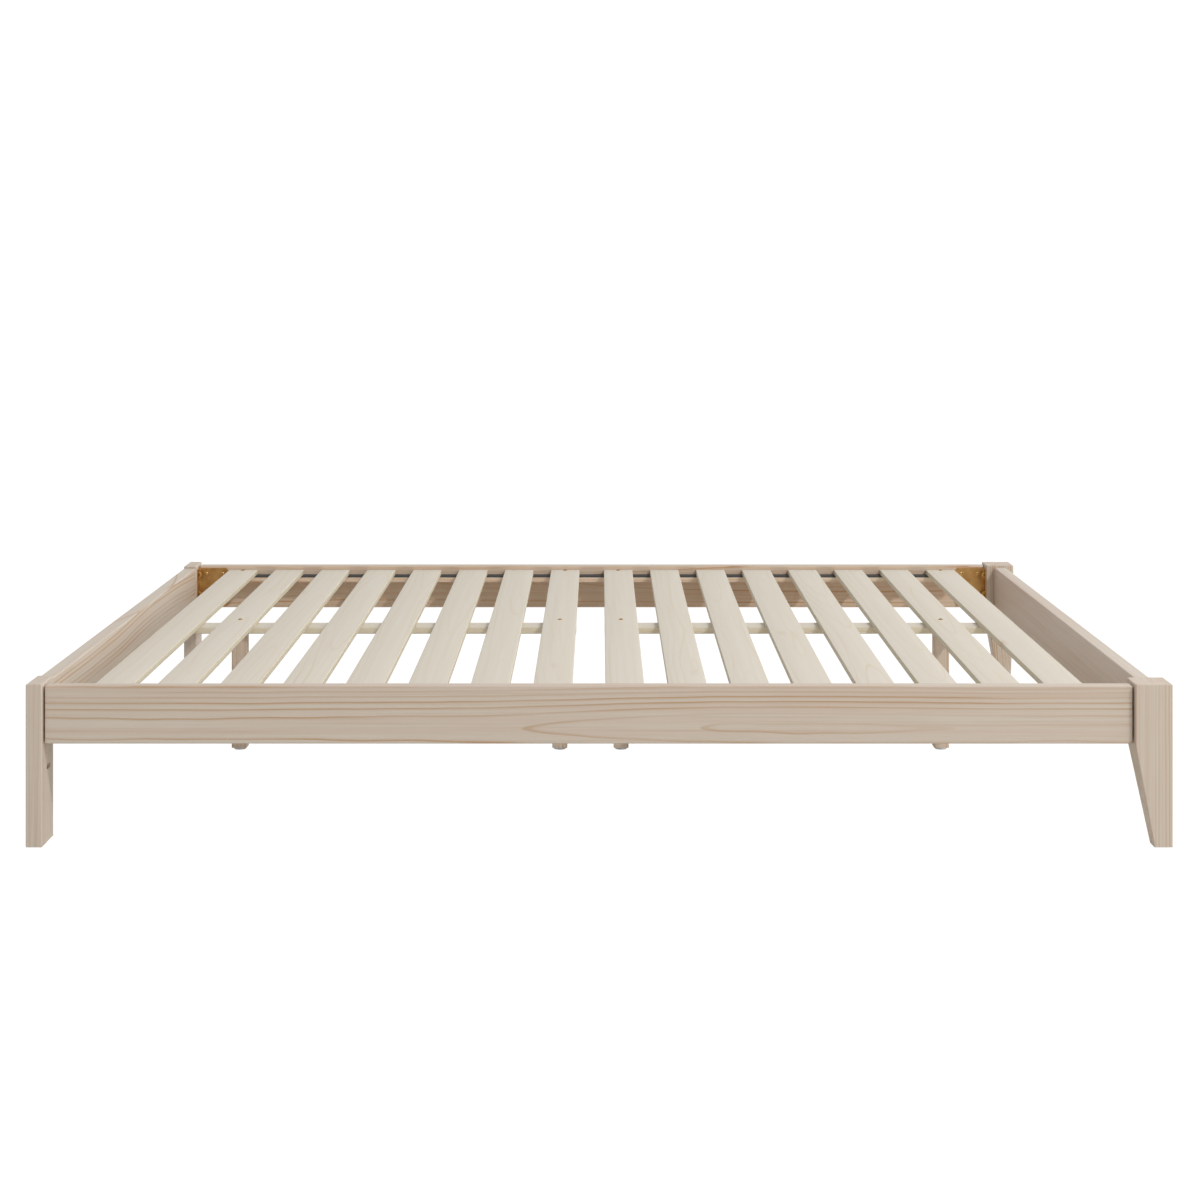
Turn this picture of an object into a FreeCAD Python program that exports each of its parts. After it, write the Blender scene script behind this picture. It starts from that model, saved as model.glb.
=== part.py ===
"""Low platform bed frame in pine, made for a queen mattress.

Units are millimetres. The origin is on the floor below the middle of the frame, +X runs from the head end
to the foot end, -Y is the front side and +Z is up.
"""

import FreeCAD
import Part

import math
import os

# Whole frame
frame_length = 2120.0
frame_width = 1625.0
leg_height = 301.0
rail_edge_radius = 2.5
leg_edge_cut = 1.5

# Head legs: flat planks, each with a slot for a headboard bolt
head_leg_thickness = 30.0
head_leg_width = 86.0
headboard_slot_length = 27.0
headboard_slot_width = 9.0
headboard_slot_inset = 51.0
headboard_slot_height = 139.0

# Foot legs: square posts, tapered below the rails on their two inner faces
foot_leg_size = 69.0
foot_leg_toe = 34.0

# Rails between the legs
rail_thickness = 29.0
rail_height = 107.0
rail_drop = 5.0
side_rail_recess = 10.0
side_rail_end_gap = 2.5
foot_rail_recess = 20.0

# Dowels that hold the end rails between their legs
dowel_diameter = 10.0
dowel_length = 40.0
dowel_end_gap = 1.0

# Ledges let into the side rails, each with a rubber strip on top
ledge_width = 40.0
ledge_tongue = 10.0
ledge_thickness = 12.0
strip_thickness = 2.5
strip_margin = 1.0

# Slat deck: two groups of slats with a wider gap between them
slats_per_group = 8
slat_width = 73.0
slat_thickness = 12.0
slat_edge_cut = 1.5
slat_end_clearance = 2.0
deck_drop = 9.6
deck_end_clearance = 4.2
group_gap = 62.8

# Raised-head screws through the outer slats of each group into the ledges
slat_screw_head = 11.0
slat_screw_shank = 4.0
slat_screw_length = 22.0
slat_screw_inset = 12.0
screw_head_rise = 2.0

# Centre beams below the slats, and the support legs screwed up to them
beam_width = 60.0
beam_thickness = 15.0
support_leg_size = 33.0
support_screw_head = 11.0
support_screw_shank = 6.0
support_screw_grip = 34.0

# Levelling glides that screw out of the support legs
glide_diameter = 27.0
glide_height = 5.0
glide_edge_cut = 1.5
glide_travel = 12.0
stud_diameter = 8.0
stud_seat = 3.0
stud_engagement = 16.0
stud_end_gap = 3.0
glide_insert_diameter = 12.0
glide_insert_length = 20.0

# Folded steel brackets that join the side rails to the legs
bracket_thickness = 2.5
bracket_bend_radius = 2.0
bracket_rail_leaf = 74.5
bracket_leg_margin = 1.0
bracket_top_drop = 5.5
bracket_bottom_rise = 3.0
bracket_corner_cut = 4.5
bracket_slot_length = 33.0
bracket_slot_width = 9.0
bracket_slot_rise = 4.0
bolt_slot_rise = 6.0

# Domed bolts with washers, in threaded inserts let into the legs
bolt_head = 11.0
bolt_head_height = 3.5
bolt_shank = 8.0
bolt_engagement = 15.0
washer_diameter = 14.0
washer_thickness = 1.5
leg_insert_diameter = 12.0
leg_insert_length = 18.0

# Domed screws through the brackets into the rails
bracket_screw_head = 8.5
bracket_screw_head_height = 1.8
bracket_screw_shank = 4.5
bracket_screw_length = 24.0
bracket_screw_first = 19.0
bracket_screw_pitch = 42.0
bracket_screw_inset = 14.0

# Fits and cuts
fit_clearance = 0.1
running_clearance = 0.08
cut_overrun = 1.0

# Proportions and counts that stay the same at any size
rail_end_share = 0.9
countersink_depth_share = 0.5
screw_tip_share = 1.2
screw_point_share = 0.15
dome_shares = ((1.0, 0.0), (0.9, 0.45), (0.6, 0.85), (0.25, 1.0))
edge_steps = 3
fastener_sides = 8
glide_sides = 24

# Places along the bed
head_end_x = -frame_length / 2
foot_end_x = frame_length / 2
side_rail_head_x = head_end_x + head_leg_thickness
side_rail_foot_x = foot_end_x - foot_leg_size
side_rail_mid_x = (side_rail_head_x + side_rail_foot_x) / 2
foot_rail_outer_x = foot_end_x - foot_rail_recess
deck_head_x = side_rail_head_x + bracket_rail_leaf + deck_end_clearance
deck_foot_x = side_rail_foot_x - bracket_rail_leaf - deck_end_clearance
group_length = (deck_foot_x - deck_head_x - group_gap) / 2
slat_pitch = (group_length - slat_width) / (slats_per_group - 1)
group_starts = (deck_head_x, deck_foot_x - group_length)
slat_starts = [start + step * slat_pitch for start in group_starts for step in range(slats_per_group)]
slat_middles = [start + slat_width / 2 for start in slat_starts]

# Places across the bed, measured on its back half
side_y = frame_width / 2
rail_outer_y = side_y - side_rail_recess
rail_inner_y = rail_outer_y - rail_thickness
head_leg_inner_y = side_y - head_leg_width
foot_leg_inner_y = side_y - foot_leg_size
slat_end_y = rail_inner_y - slat_end_clearance
slat_screw_y = slat_end_y - slat_screw_inset

# Heights
rail_top_z = leg_height - rail_drop
rail_bottom_z = rail_top_z - rail_height
slat_top_z = rail_top_z - deck_drop
slat_bottom_z = slat_top_z - slat_thickness
ledge_top_z = slat_bottom_z - strip_thickness
ledge_bottom_z = ledge_top_z - ledge_thickness
beam_bottom_z = slat_bottom_z - beam_thickness
support_screw_length = slat_top_z - beam_bottom_z + support_screw_grip
stud_top_z = glide_height + glide_travel + stud_engagement
bracket_top_z = rail_top_z - bracket_top_drop
bracket_bottom_z = rail_bottom_z + bracket_bottom_rise
bracket_height = bracket_top_z - bracket_bottom_z
bracket_mid_z = (bracket_top_z + bracket_bottom_z) / 2
bracket_slot_zs = [bracket_mid_z + side * bracket_height / 4 + bracket_slot_rise for side in (1, -1)]
bolt_zs = [slot_z + bolt_slot_rise for slot_z in bracket_slot_zs]
bracket_screw_zs = (bracket_top_z - bracket_screw_inset, bracket_bottom_z + bracket_screw_inset)
dowel_zs = ((bolt_zs[0] + bolt_zs[1]) / 2, (bolt_zs[1] + rail_bottom_z) / 2)

# The bracket's leg leaf fills the leg face that the side rail leaves bare at the foot end
bracket_leg_leaf = foot_leg_size - side_rail_recess - rail_thickness - bracket_leg_margin
bracket_bend_reach = bracket_thickness + bracket_bend_radius
bolt_y = rail_inner_y - (bracket_bend_reach + bracket_leg_leaf) / 2
bolt_length = bracket_thickness + washer_thickness + bolt_engagement

# The slats that are screwed down at their ends, and those with a support leg below
end_screwed_slats = (0, slats_per_group - 1, slats_per_group, 2 * slats_per_group - 1)
supported_slats = (1, slats_per_group - 1, slats_per_group, 2 * slats_per_group - 2)

ORIGIN = FreeCAD.Vector(0, 0, 0)
ALONG = FreeCAD.Vector(1, 0, 0)
ACROSS = FreeCAD.Vector(0, 1, 0)
UP = FreeCAD.Vector(0, 0, 1)


def block(low, high):
    """Box between two opposite corners."""
    size = FreeCAD.Vector(*high) - FreeCAD.Vector(*low)
    return Part.makeBox(size.x, size.y, size.z, FreeCAD.Vector(*low))


def arc_points(centre, radius, start_turn, place):
    """First, middle and last point of a quarter arc; place turns sizes in its plane into a point."""
    points = []
    for turn in (start_turn, start_turn + math.pi / 4, start_turn + math.pi / 2):
        points.append(place(centre[0] + radius * math.cos(turn), centre[1] + radius * math.sin(turn)))
    return points


def rounded_points(low, high, radius, inset, place):
    """Points round a rectangle with rounded corners, set in on all sides; place makes each a point."""
    centres = (
        (high[0] - radius, high[1] - radius),
        (low[0] + radius, high[1] - radius),
        (low[0] + radius, low[1] + radius),
        (high[0] - radius, low[1] + radius),
    )
    reach = radius - inset
    points = []
    for quarter, centre in enumerate(centres):
        for step in range(edge_steps + 1):
            turn = (quarter + step / edge_steps) * math.pi / 2
            points.append(place(centre[0] + reach * math.cos(turn), centre[1] + reach * math.sin(turn)))
    return points


def chamfered_points(low, high, cut, place):
    """Points round a rectangle with its corners cut off; place turns sizes in its plane into a point."""
    corners = (
        (high[0], low[1] + cut),
        (high[0], high[1] - cut),
        (high[0] - cut, high[1]),
        (low[0] + cut, high[1]),
        (low[0], high[1] - cut),
        (low[0], low[1] + cut),
        (low[0] + cut, low[1]),
        (high[0] - cut, low[1]),
    )
    return [place(*corner) for corner in corners]


def chamfered_outline(low, high, cut, place):
    """Closed outline of a rectangle with its corners cut off."""
    points = chamfered_points(low, high, cut, place)
    return Part.makePolygon(points + points[:1])


def slot_outline(centre, length, width, place):
    """Closed outline of a round-ended slot that runs along its plane's first direction."""
    reach = (length - width) / 2
    near = [place(centre[0] - reach, centre[1] + side * width / 2) for side in (1, -1)]
    far = [place(centre[0] + reach, centre[1] + side * width / 2) for side in (1, -1)]
    near_tip = place(centre[0] - length / 2, centre[1])
    far_tip = place(centre[0] + length / 2, centre[1])
    return Part.Wire(
        [
            Part.makeLine(near[0], far[0]),
            Part.Arc(far[0], far_tip, far[1]).toShape(),
            Part.makeLine(far[1], near[1]),
            Part.Arc(near[1], near_tip, near[0]).toShape(),
        ]
    )


def prism(outline, run):
    """Solid of a flat closed outline pushed along a run."""
    return Part.Face(outline).extrude(run)


def board_along(low, high, edge):
    """Board that runs along the bed, with its long edges cut off."""
    section = chamfered_outline(low[1:], high[1:], edge, lambda y, z: FreeCAD.Vector(low[0], y, z))
    return prism(section, ALONG * (high[0] - low[0]))


def board_across(low, high, edge):
    """Board that runs across the bed, with its long edges cut off."""
    section = chamfered_outline(
        (low[0], low[2]), (high[0], high[2]), edge, lambda x, z: FreeCAD.Vector(x, low[1], z)
    )
    return prism(section, ACROSS * (high[1] - low[1]))


def flat(points):
    """Flat face inside a loop of points."""
    return Part.Face(Part.makePolygon(points + points[:1]))


def stack(loops):
    """Flat-faced solid through loops of points that match one another, from the bottom up."""
    faces = [flat(loops[0]), flat(loops[-1])]
    for lower, upper in zip(loops, loops[1:]):
        for side, start in enumerate(lower):
            end = (side + 1) % len(lower)
            faces.append(flat([start, lower[end], upper[end], upper[side]]))
    return Part.makeSolid(Part.makeShell(faces))


def rail(low, high, run_low, run_high, place):
    """Rail with all of its edges rounded, at its ends too.

    Low and high are the corners of its section, and place turns a run and a section point into a point.
    """
    end_radius = rail_edge_radius * rail_end_share
    turns = [math.pi / 2 * step / edge_steps for step in range(edge_steps + 1)]
    eases = [(end_radius * (1 - math.cos(turn)), end_radius * (1 - math.sin(turn))) for turn in turns]
    levels = [(run_low + reach, inset) for reach, inset in eases]
    levels += [(run_high - reach, inset) for reach, inset in reversed(eases)]
    loops = []
    for run, inset in levels:
        loops.append(rounded_points(low, high, rail_edge_radius, inset, lambda a, b: place(run, a, b)))
    return stack(loops)


def rail_along(low, high):
    """Rail that runs along the bed between two opposite corners."""
    return rail(low[1:], high[1:], low[0], high[0], lambda x, y, z: FreeCAD.Vector(x, y, z))


def rail_across(low, high):
    """Rail that runs across the bed between two opposite corners."""
    section_low, section_high = (low[0], low[2]), (high[0], high[2])
    return rail(section_low, section_high, low[1], high[1], lambda y, x, z: FreeCAD.Vector(x, y, z))


def post_loop(low, high, cut, height):
    """Loop round an upright post at a height, with its corners cut off."""
    return chamfered_points(low, high, cut, lambda x, y: FreeCAD.Vector(x, y, height))


def post(low, high, cut):
    """Upright post with its upright edges eased."""
    return stack([post_loop(low, high, cut, height) for height in (low[2], high[2])])


def eased_top(low, high):
    """The last two loops of a leg, which take the sharp edge off its top."""
    inset_low = [size + leg_edge_cut for size in low[:2]]
    inset_high = [size - leg_edge_cut for size in high[:2]]
    return [
        post_loop(low, high, leg_edge_cut, high[2] - leg_edge_cut),
        post_loop(inset_low, inset_high, leg_edge_cut, high[2]),
    ]


def pin(sections, sides=fastener_sides):
    """Many-sided pin about the Z axis through sections given as radius and height, from the bottom up."""
    turns = [2 * math.pi * side / sides for side in range(sides)]
    loops = []
    for radius, height in sections:
        loops.append([FreeCAD.Vector(radius * math.cos(t), radius * math.sin(t), height) for t in turns])
    return stack(loops)


def plain_pin(diameter, length):
    """Many-sided pin of one thickness that stands on z = 0."""
    return pin([(diameter / 2, 0), (diameter / 2, length)])


def countersunk_sections(head, shank, length, grow):
    """Sections of a wood screw from its point up to the rim of its head at z = 0; grow widens them."""
    head_depth = (head - shank) * countersink_depth_share
    tip_depth = shank * screw_tip_share
    shank_radius = shank / 2 + grow
    return [
        (shank_radius * screw_point_share, -length - grow),
        (shank_radius, tip_depth - length),
        (shank_radius, -head_depth),
        (head / 2 + grow, 0),
    ]


def dome_sections(head, height):
    """Sections of a domed head, from its rim at z = 0 up."""
    return [(head / 2 * across, height * rise) for across, rise in dome_shares]


def raised_screw(head, shank, length):
    """Wood screw that points down, with its head let in up to the rim at z = 0 and domed above."""
    dome = dome_sections(head, screw_head_rise)
    return pin(countersunk_sections(head, shank, length, 0) + dome[1:])


def raised_screw_hole(head, shank, length):
    """Hole for a raised-head screw, open above the rim of its head."""
    sections = countersunk_sections(head, shank, length, fit_clearance)
    return pin(sections + [(head / 2 + fit_clearance, cut_overrun)])


def domed_screw(head, head_height, shank, length, grow):
    """Dome-headed screw or bolt that points down, with the seat of its head at z = 0."""
    shank_radius = shank / 2 + grow
    return pin([(shank_radius, -length - grow), (shank_radius, 0)] + dome_sections(head, head_height))


def ring(outer, inner, length):
    """Many-sided washer or sleeve that stands on z = 0."""
    return plain_pin(outer, length).cut(plain_pin(inner, length))


def pointed(shape, direction, place):
    """Turn a piece so that its +Z points along a direction, and move its origin to a place."""
    turn = FreeCAD.Rotation(UP, direction)
    return shape.transformed(FreeCAD.Placement(FreeCAD.Vector(*place), turn).toMatrix())


def at_corner(shape, foot, front):
    """Carry a piece drawn at the back corner of the head end to one of the four corners."""
    if foot:
        shape = shape.mirror(FreeCAD.Vector(side_rail_mid_x, 0, 0), ALONG)
    if front:
        shape = shape.mirror(ORIGIN, ACROSS)
    return shape


def at_side(shape, front):
    """Carry a piece drawn on the back half to the front half, or leave it."""
    return shape.mirror(ORIGIN, ACROSS) if front else shape


def corners():
    """Every corner as the end's name, the side's name and whether it is at the foot and at the front."""
    for foot, end in enumerate(("head", "foot")):
        for front, side in enumerate(("back", "front")):
            yield end, side, bool(foot), bool(front)


def at_all_corners(shapes):
    """Copies of one corner's pieces at all four corners."""
    return [at_corner(shape, foot, front) for _, _, foot, front in corners() for shape in shapes]


def at_both_sides(shapes):
    """Copies of the back half's pieces on both halves."""
    return [at_side(shape, front) for front in (False, True) for shape in shapes]


def insert_bores():
    """Holes for the two threaded inserts in the leg at the back corner of the head end."""
    bore = plain_pin(leg_insert_diameter + 2 * fit_clearance, leg_insert_length)
    return [pointed(bore, -ALONG, (side_rail_head_x, bolt_y, z)) for z in bolt_zs]


def dowel(x, y, z, grow):
    """Dowel along Y whose middle is at a place; grow widens it into its hole."""
    length = dowel_length + 2 * (dowel_end_gap if grow else 0)
    return pointed(plain_pin(dowel_diameter + 2 * grow, length), ACROSS, (x, y - length / 2, z))


def head_dowels(grow):
    """Dowels between the head rail and the back head leg."""
    x = head_end_x + rail_thickness / 2
    return [dowel(x, head_leg_inner_y, z, grow) for z in dowel_zs]


def foot_dowels(grow):
    """Dowels between the foot rail and the back foot leg."""
    x = foot_rail_outer_x - rail_thickness / 2
    return [dowel(x, foot_leg_inner_y, z, grow) for z in dowel_zs]


def head_leg():
    """Back head leg: a plank with a headboard slot, insert bores and dowel holes."""
    low = (head_end_x, head_leg_inner_y, 0)
    high = (side_rail_head_x, side_y, leg_height)
    leg = stack([post_loop(low, high, leg_edge_cut, 0)] + eased_top(low, high))
    slot_centre = (side_y - headboard_slot_inset, headboard_slot_height)
    outline = slot_outline(
        slot_centre,
        headboard_slot_length,
        headboard_slot_width,
        lambda y, z: FreeCAD.Vector(head_end_x - cut_overrun, y, z),
    )
    slot = prism(outline, ALONG * (head_leg_thickness + 2 * cut_overrun))
    return leg.cut([slot] + insert_bores() + head_dowels(fit_clearance))


def foot_leg():
    """Back foot leg: a square post that tapers on its inner faces from the rails down to a small toe."""
    low = (side_rail_foot_x, foot_leg_inner_y, 0)
    high = (foot_end_x, side_y, leg_height)
    toe_low = (foot_end_x - foot_leg_toe, side_y - foot_leg_toe)
    toe = post_loop(toe_low, high, leg_edge_cut, 0)
    shoulder = post_loop(low, high, leg_edge_cut, rail_bottom_z)
    leg = stack([toe, shoulder] + eased_top(low, high))
    bores = [at_corner(bore, True, False) for bore in insert_bores()]
    return leg.cut(bores + foot_dowels(fit_clearance))


def head_rail():
    """Rail between the head legs, level with their outer faces."""
    low = (head_end_x, -head_leg_inner_y, rail_bottom_z)
    high = (head_end_x + rail_thickness, head_leg_inner_y, rail_top_z)
    holes = at_both_sides(head_dowels(fit_clearance))
    return rail_across(low, high).cut(holes)


def foot_rail():
    """Rail between the foot legs, set back from their outer faces."""
    low = (foot_rail_outer_x - rail_thickness, -foot_leg_inner_y, rail_bottom_z)
    high = (foot_rail_outer_x, foot_leg_inner_y, rail_top_z)
    holes = at_both_sides(foot_dowels(fit_clearance))
    return rail_across(low, high).cut(holes)


def bracket_screws(grow):
    """Screws of the bracket at the back corner of the head end, or their holes when grown."""
    screw = domed_screw(
        bracket_screw_head, bracket_screw_head_height, bracket_screw_shank, bracket_screw_length, grow
    )
    face_y = rail_inner_y - bracket_thickness
    places = []
    for z in bracket_screw_zs:
        for step in range(2):
            places.append((side_rail_head_x + bracket_screw_first + step * bracket_screw_pitch, face_y, z))
    return [pointed(screw, -ACROSS, place) for place in places]


def side_rail():
    """Back side rail, grooved for its ledge and drilled for the bracket screws at both ends."""
    low = (side_rail_head_x + side_rail_end_gap, rail_inner_y, rail_bottom_z)
    high = (side_rail_foot_x - side_rail_end_gap, rail_outer_y, rail_top_z)
    groove_depth = ledge_tongue + fit_clearance
    groove = block(
        (deck_head_x - fit_clearance, rail_inner_y - cut_overrun, ledge_bottom_z - fit_clearance),
        (deck_foot_x + fit_clearance, rail_inner_y + groove_depth, ledge_top_z + fit_clearance),
    )
    head_holes = bracket_screws(fit_clearance)
    foot_holes = [at_corner(hole, True, False) for hole in head_holes]
    return rail_along(low, high).cut([groove] + head_holes + foot_holes)


def slat_screw_places():
    """Head centres of the slat screws along the back side rail."""
    return [(slat_middles[index], slat_screw_y, slat_top_z) for index in end_screwed_slats]


def slat_screw_holes():
    """Holes for the slat screws along the back side rail."""
    hole = raised_screw_hole(slat_screw_head, slat_screw_shank, slat_screw_length)
    return [pointed(hole, UP, place) for place in slat_screw_places()]


def support_screw_places():
    """Head centres of the screws that hold the support legs."""
    return [(slat_middles[index], 0, slat_top_z) for index in supported_slats]


def support_screw_holes():
    """Holes for the screws that hold the support legs."""
    hole = raised_screw_hole(support_screw_head, support_screw_shank, support_screw_length)
    return [pointed(hole, UP, place) for place in support_screw_places()]


def ledge():
    """Back ledge: a strip of wood with its tongue let into the side rail."""
    low = (deck_head_x, rail_inner_y - ledge_width, ledge_bottom_z)
    high = (deck_foot_x, rail_inner_y + ledge_tongue, ledge_top_z)
    return block(low, high).cut(slat_screw_holes())


def ledge_strip():
    """Rubber strip along the top of the back ledge."""
    low = (deck_head_x, rail_inner_y - ledge_width + strip_margin, ledge_top_z)
    high = (deck_foot_x, rail_inner_y - strip_margin, slat_bottom_z)
    return block(low, high).cut(slat_screw_holes())


def slat(index):
    """Slat across the bed, drilled where its screws go."""
    start = slat_starts[index]
    low = (start, -slat_end_y, slat_bottom_z)
    high = (start + slat_width, slat_end_y, slat_top_z)
    holes = []
    if index in end_screwed_slats:
        end_hole = slat_screw_holes()[end_screwed_slats.index(index)]
        holes += [end_hole, at_side(end_hole, True)]
    if index in supported_slats:
        holes.append(support_screw_holes()[supported_slats.index(index)])
    board = board_across(low, high, slat_edge_cut)
    return board.cut(holes) if holes else board


def centre_beam(start):
    """Flat beam under one group of slats."""
    low = (start, -beam_width / 2, beam_bottom_z)
    high = (start + group_length, beam_width / 2, slat_bottom_z)
    return board_along(low, high, slat_edge_cut).cut(support_screw_holes())


def glide_insert():
    """Threaded sleeve for a glide's stud, standing on z = 0."""
    return ring(glide_insert_diameter, stud_diameter + 2 * running_clearance, glide_insert_length)


def support_leg(x):
    """Square centre leg, bored for its screw above and its glide below."""
    half = support_leg_size / 2
    low = (x - half, -half, glide_height)
    high = (x + half, half, beam_bottom_z)
    bore = plain_pin(glide_insert_diameter + 2 * fit_clearance, stud_top_z - glide_height + stud_end_gap)
    bores = [pointed(bore, UP, (x, 0, glide_height))] + support_screw_holes()
    return post(low, high, slat_edge_cut).cut(bores)


def levelling_glide(x):
    """Round plastic foot with its edges eased and a seat for its stud."""
    radius = glide_diameter / 2
    sections = [
        (radius - glide_edge_cut, 0),
        (radius, glide_edge_cut),
        (radius, glide_height - glide_edge_cut),
        (radius - glide_edge_cut, glide_height),
    ]
    seat = plain_pin(stud_diameter + 2 * fit_clearance, stud_seat + cut_overrun)
    foot = pin(sections, glide_sides).cut(pointed(seat, UP, (0, 0, glide_height - stud_seat)))
    return pointed(foot, UP, (x, 0, 0))


def glide_stud(x):
    """Steel stud that stands in a glide and screws into the support leg."""
    bottom = glide_height - stud_seat
    return pointed(plain_pin(stud_diameter, stud_top_z - bottom), UP, (x, 0, bottom))


def corner_bracket():
    """Folded steel angle at the back corner of the head end, with screw holes and bolt slots."""
    corner = FreeCAD.Vector(side_rail_head_x, rail_inner_y, bracket_bottom_z)

    def place(along, inward):
        return corner + FreeCAD.Vector(along, -inward, 0)

    bend_centre = (bracket_bend_reach, bracket_bend_reach)
    outer_bend = arc_points(bend_centre, bracket_bend_reach, math.pi, place)
    inner_bend = arc_points(bend_centre, bracket_bend_radius, math.pi, place)
    leg_tip = [place(0, bracket_leg_leaf), place(bracket_thickness, bracket_leg_leaf)]
    rail_tip = [place(bracket_rail_leaf, bracket_thickness), place(bracket_rail_leaf, 0)]
    outline = Part.Wire(
        [
            Part.Arc(*outer_bend).toShape(),
            Part.makeLine(outer_bend[-1], rail_tip[1]),
            Part.makeLine(rail_tip[1], rail_tip[0]),
            Part.makeLine(rail_tip[0], inner_bend[-1]),
            Part.Arc(*inner_bend).toShape(),
            Part.makeLine(inner_bend[0], leg_tip[1]),
            Part.makeLine(leg_tip[1], leg_tip[0]),
            Part.makeLine(leg_tip[0], outer_bend[0]),
        ]
    )
    bracket = prism(outline, UP * bracket_height)
    tip_x = side_rail_head_x + bracket_rail_leaf
    tip_edges = [
        edge
        for edge in bracket.Edges
        if edge.BoundBox.XMin > tip_x - fit_clearance and edge.BoundBox.ZLength < fit_clearance
    ]
    bracket = bracket.makeChamfer(bracket_corner_cut, tip_edges)
    slots = []
    for slot_z in bracket_slot_zs:
        slot = slot_outline(
            (slot_z, bolt_y),
            bracket_slot_length,
            bracket_slot_width,
            lambda z, y: FreeCAD.Vector(side_rail_head_x - cut_overrun, y, z),
        )
        slots.append(prism(slot, ALONG * (bracket_thickness + 2 * cut_overrun)))
    return bracket.cut(slots + bracket_screws(fit_clearance))


def bracket_bolts():
    """Bolts of the bracket at the back corner of the head end."""
    bolt = domed_screw(bolt_head, bolt_head_height, bolt_shank, bolt_length, 0)
    seat_x = side_rail_head_x + bracket_thickness + washer_thickness
    return [pointed(bolt, ALONG, (seat_x, bolt_y, z)) for z in bolt_zs]


def bolt_washers():
    """Washers of the bracket at the back corner of the head end."""
    washer = ring(washer_diameter, bolt_shank + 2 * fit_clearance, washer_thickness)
    return [pointed(washer, ALONG, (side_rail_head_x + bracket_thickness, bolt_y, z)) for z in bolt_zs]


def leg_inserts():
    """Threaded inserts in the leg at the back corner of the head end."""
    insert = ring(leg_insert_diameter, bolt_shank + 2 * fit_clearance, leg_insert_length)
    return [pointed(insert, -ALONG, (side_rail_head_x, bolt_y, z)) for z in bolt_zs]


def frame_nodes():
    """Legs, rails, ledges and strips by node name."""
    nodes = {"head_rail": head_rail(), "foot_rail": foot_rail()}
    makers = {"side_rail": side_rail, "ledge": ledge, "ledge_strip": ledge_strip}
    for front, side in enumerate(("back", "front")):
        nodes["head_leg_" + side] = at_side(head_leg(), front)
        nodes["foot_leg_" + side] = at_side(foot_leg(), front)
        for name, make in makers.items():
            nodes[side + "_" + name] = at_side(make(), front)
    return nodes


def deck_nodes():
    """Slats and centre beams by node name."""
    nodes = {}
    for index in range(len(slat_starts)):
        nodes[f"slat_{index + 1:02d}"] = slat(index)
    for end, start in zip(("head", "foot"), group_starts):
        nodes["centre_beam_" + end] = centre_beam(start)
    return nodes


def support_nodes():
    """Support legs and their levelling glides by node name."""
    nodes = {}
    inserts = []
    for number, index in enumerate(supported_slats, start=1):
        x = slat_middles[index]
        nodes[f"support_leg_{number}"] = support_leg(x)
        nodes[f"levelling_glide_{number}"] = levelling_glide(x)
        nodes[f"glide_stud_{number}"] = glide_stud(x)
        inserts.append(pointed(glide_insert(), UP, (x, 0, glide_height)))
    nodes["glide_inserts"] = Part.makeCompound(inserts)
    return nodes


def fastener_nodes():
    """Brackets, and the fasteners as groups of like pieces, by node name."""
    nodes = {}
    for end, side, foot, front in corners():
        nodes[f"corner_bracket_{end}_{side}"] = at_corner(corner_bracket(), foot, front)
    slat_screw = raised_screw(slat_screw_head, slat_screw_shank, slat_screw_length)
    slat_screws = [pointed(slat_screw, UP, place) for place in slat_screw_places()]
    leg_screw = raised_screw(support_screw_head, support_screw_shank, support_screw_length)
    groups = {
        "bracket_screws": at_all_corners(bracket_screws(0)),
        "bracket_bolts": at_all_corners(bracket_bolts()),
        "bolt_washers": at_all_corners(bolt_washers()),
        "leg_inserts": at_all_corners(leg_inserts()),
        "slat_end_screws": at_both_sides(slat_screws),
        "support_leg_screws": [pointed(leg_screw, UP, place) for place in support_screw_places()],
        "end_rail_dowels": at_both_sides(head_dowels(0) + foot_dowels(0)),
    }
    for name, pieces in groups.items():
        nodes[name] = Part.makeCompound(pieces)
    return nodes


def main():
    """Write every node to its own file."""
    os.makedirs("parts", exist_ok=True)
    nodes = {**frame_nodes(), **deck_nodes(), **support_nodes(), **fastener_nodes()}
    for name, shape in nodes.items():
        shape.exportStep(f"parts/{name}.step")
        print(name, len(shape.Solids), "solids, valid:", shape.isValid())


main()
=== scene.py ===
"""Looks of a low pine bed frame: finishes, detailed pieces, studio light and camera."""

import logging
import math
from dataclasses import dataclass, replace
from enum import Enum
from functools import cache
from typing import Any, Sequence

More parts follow.
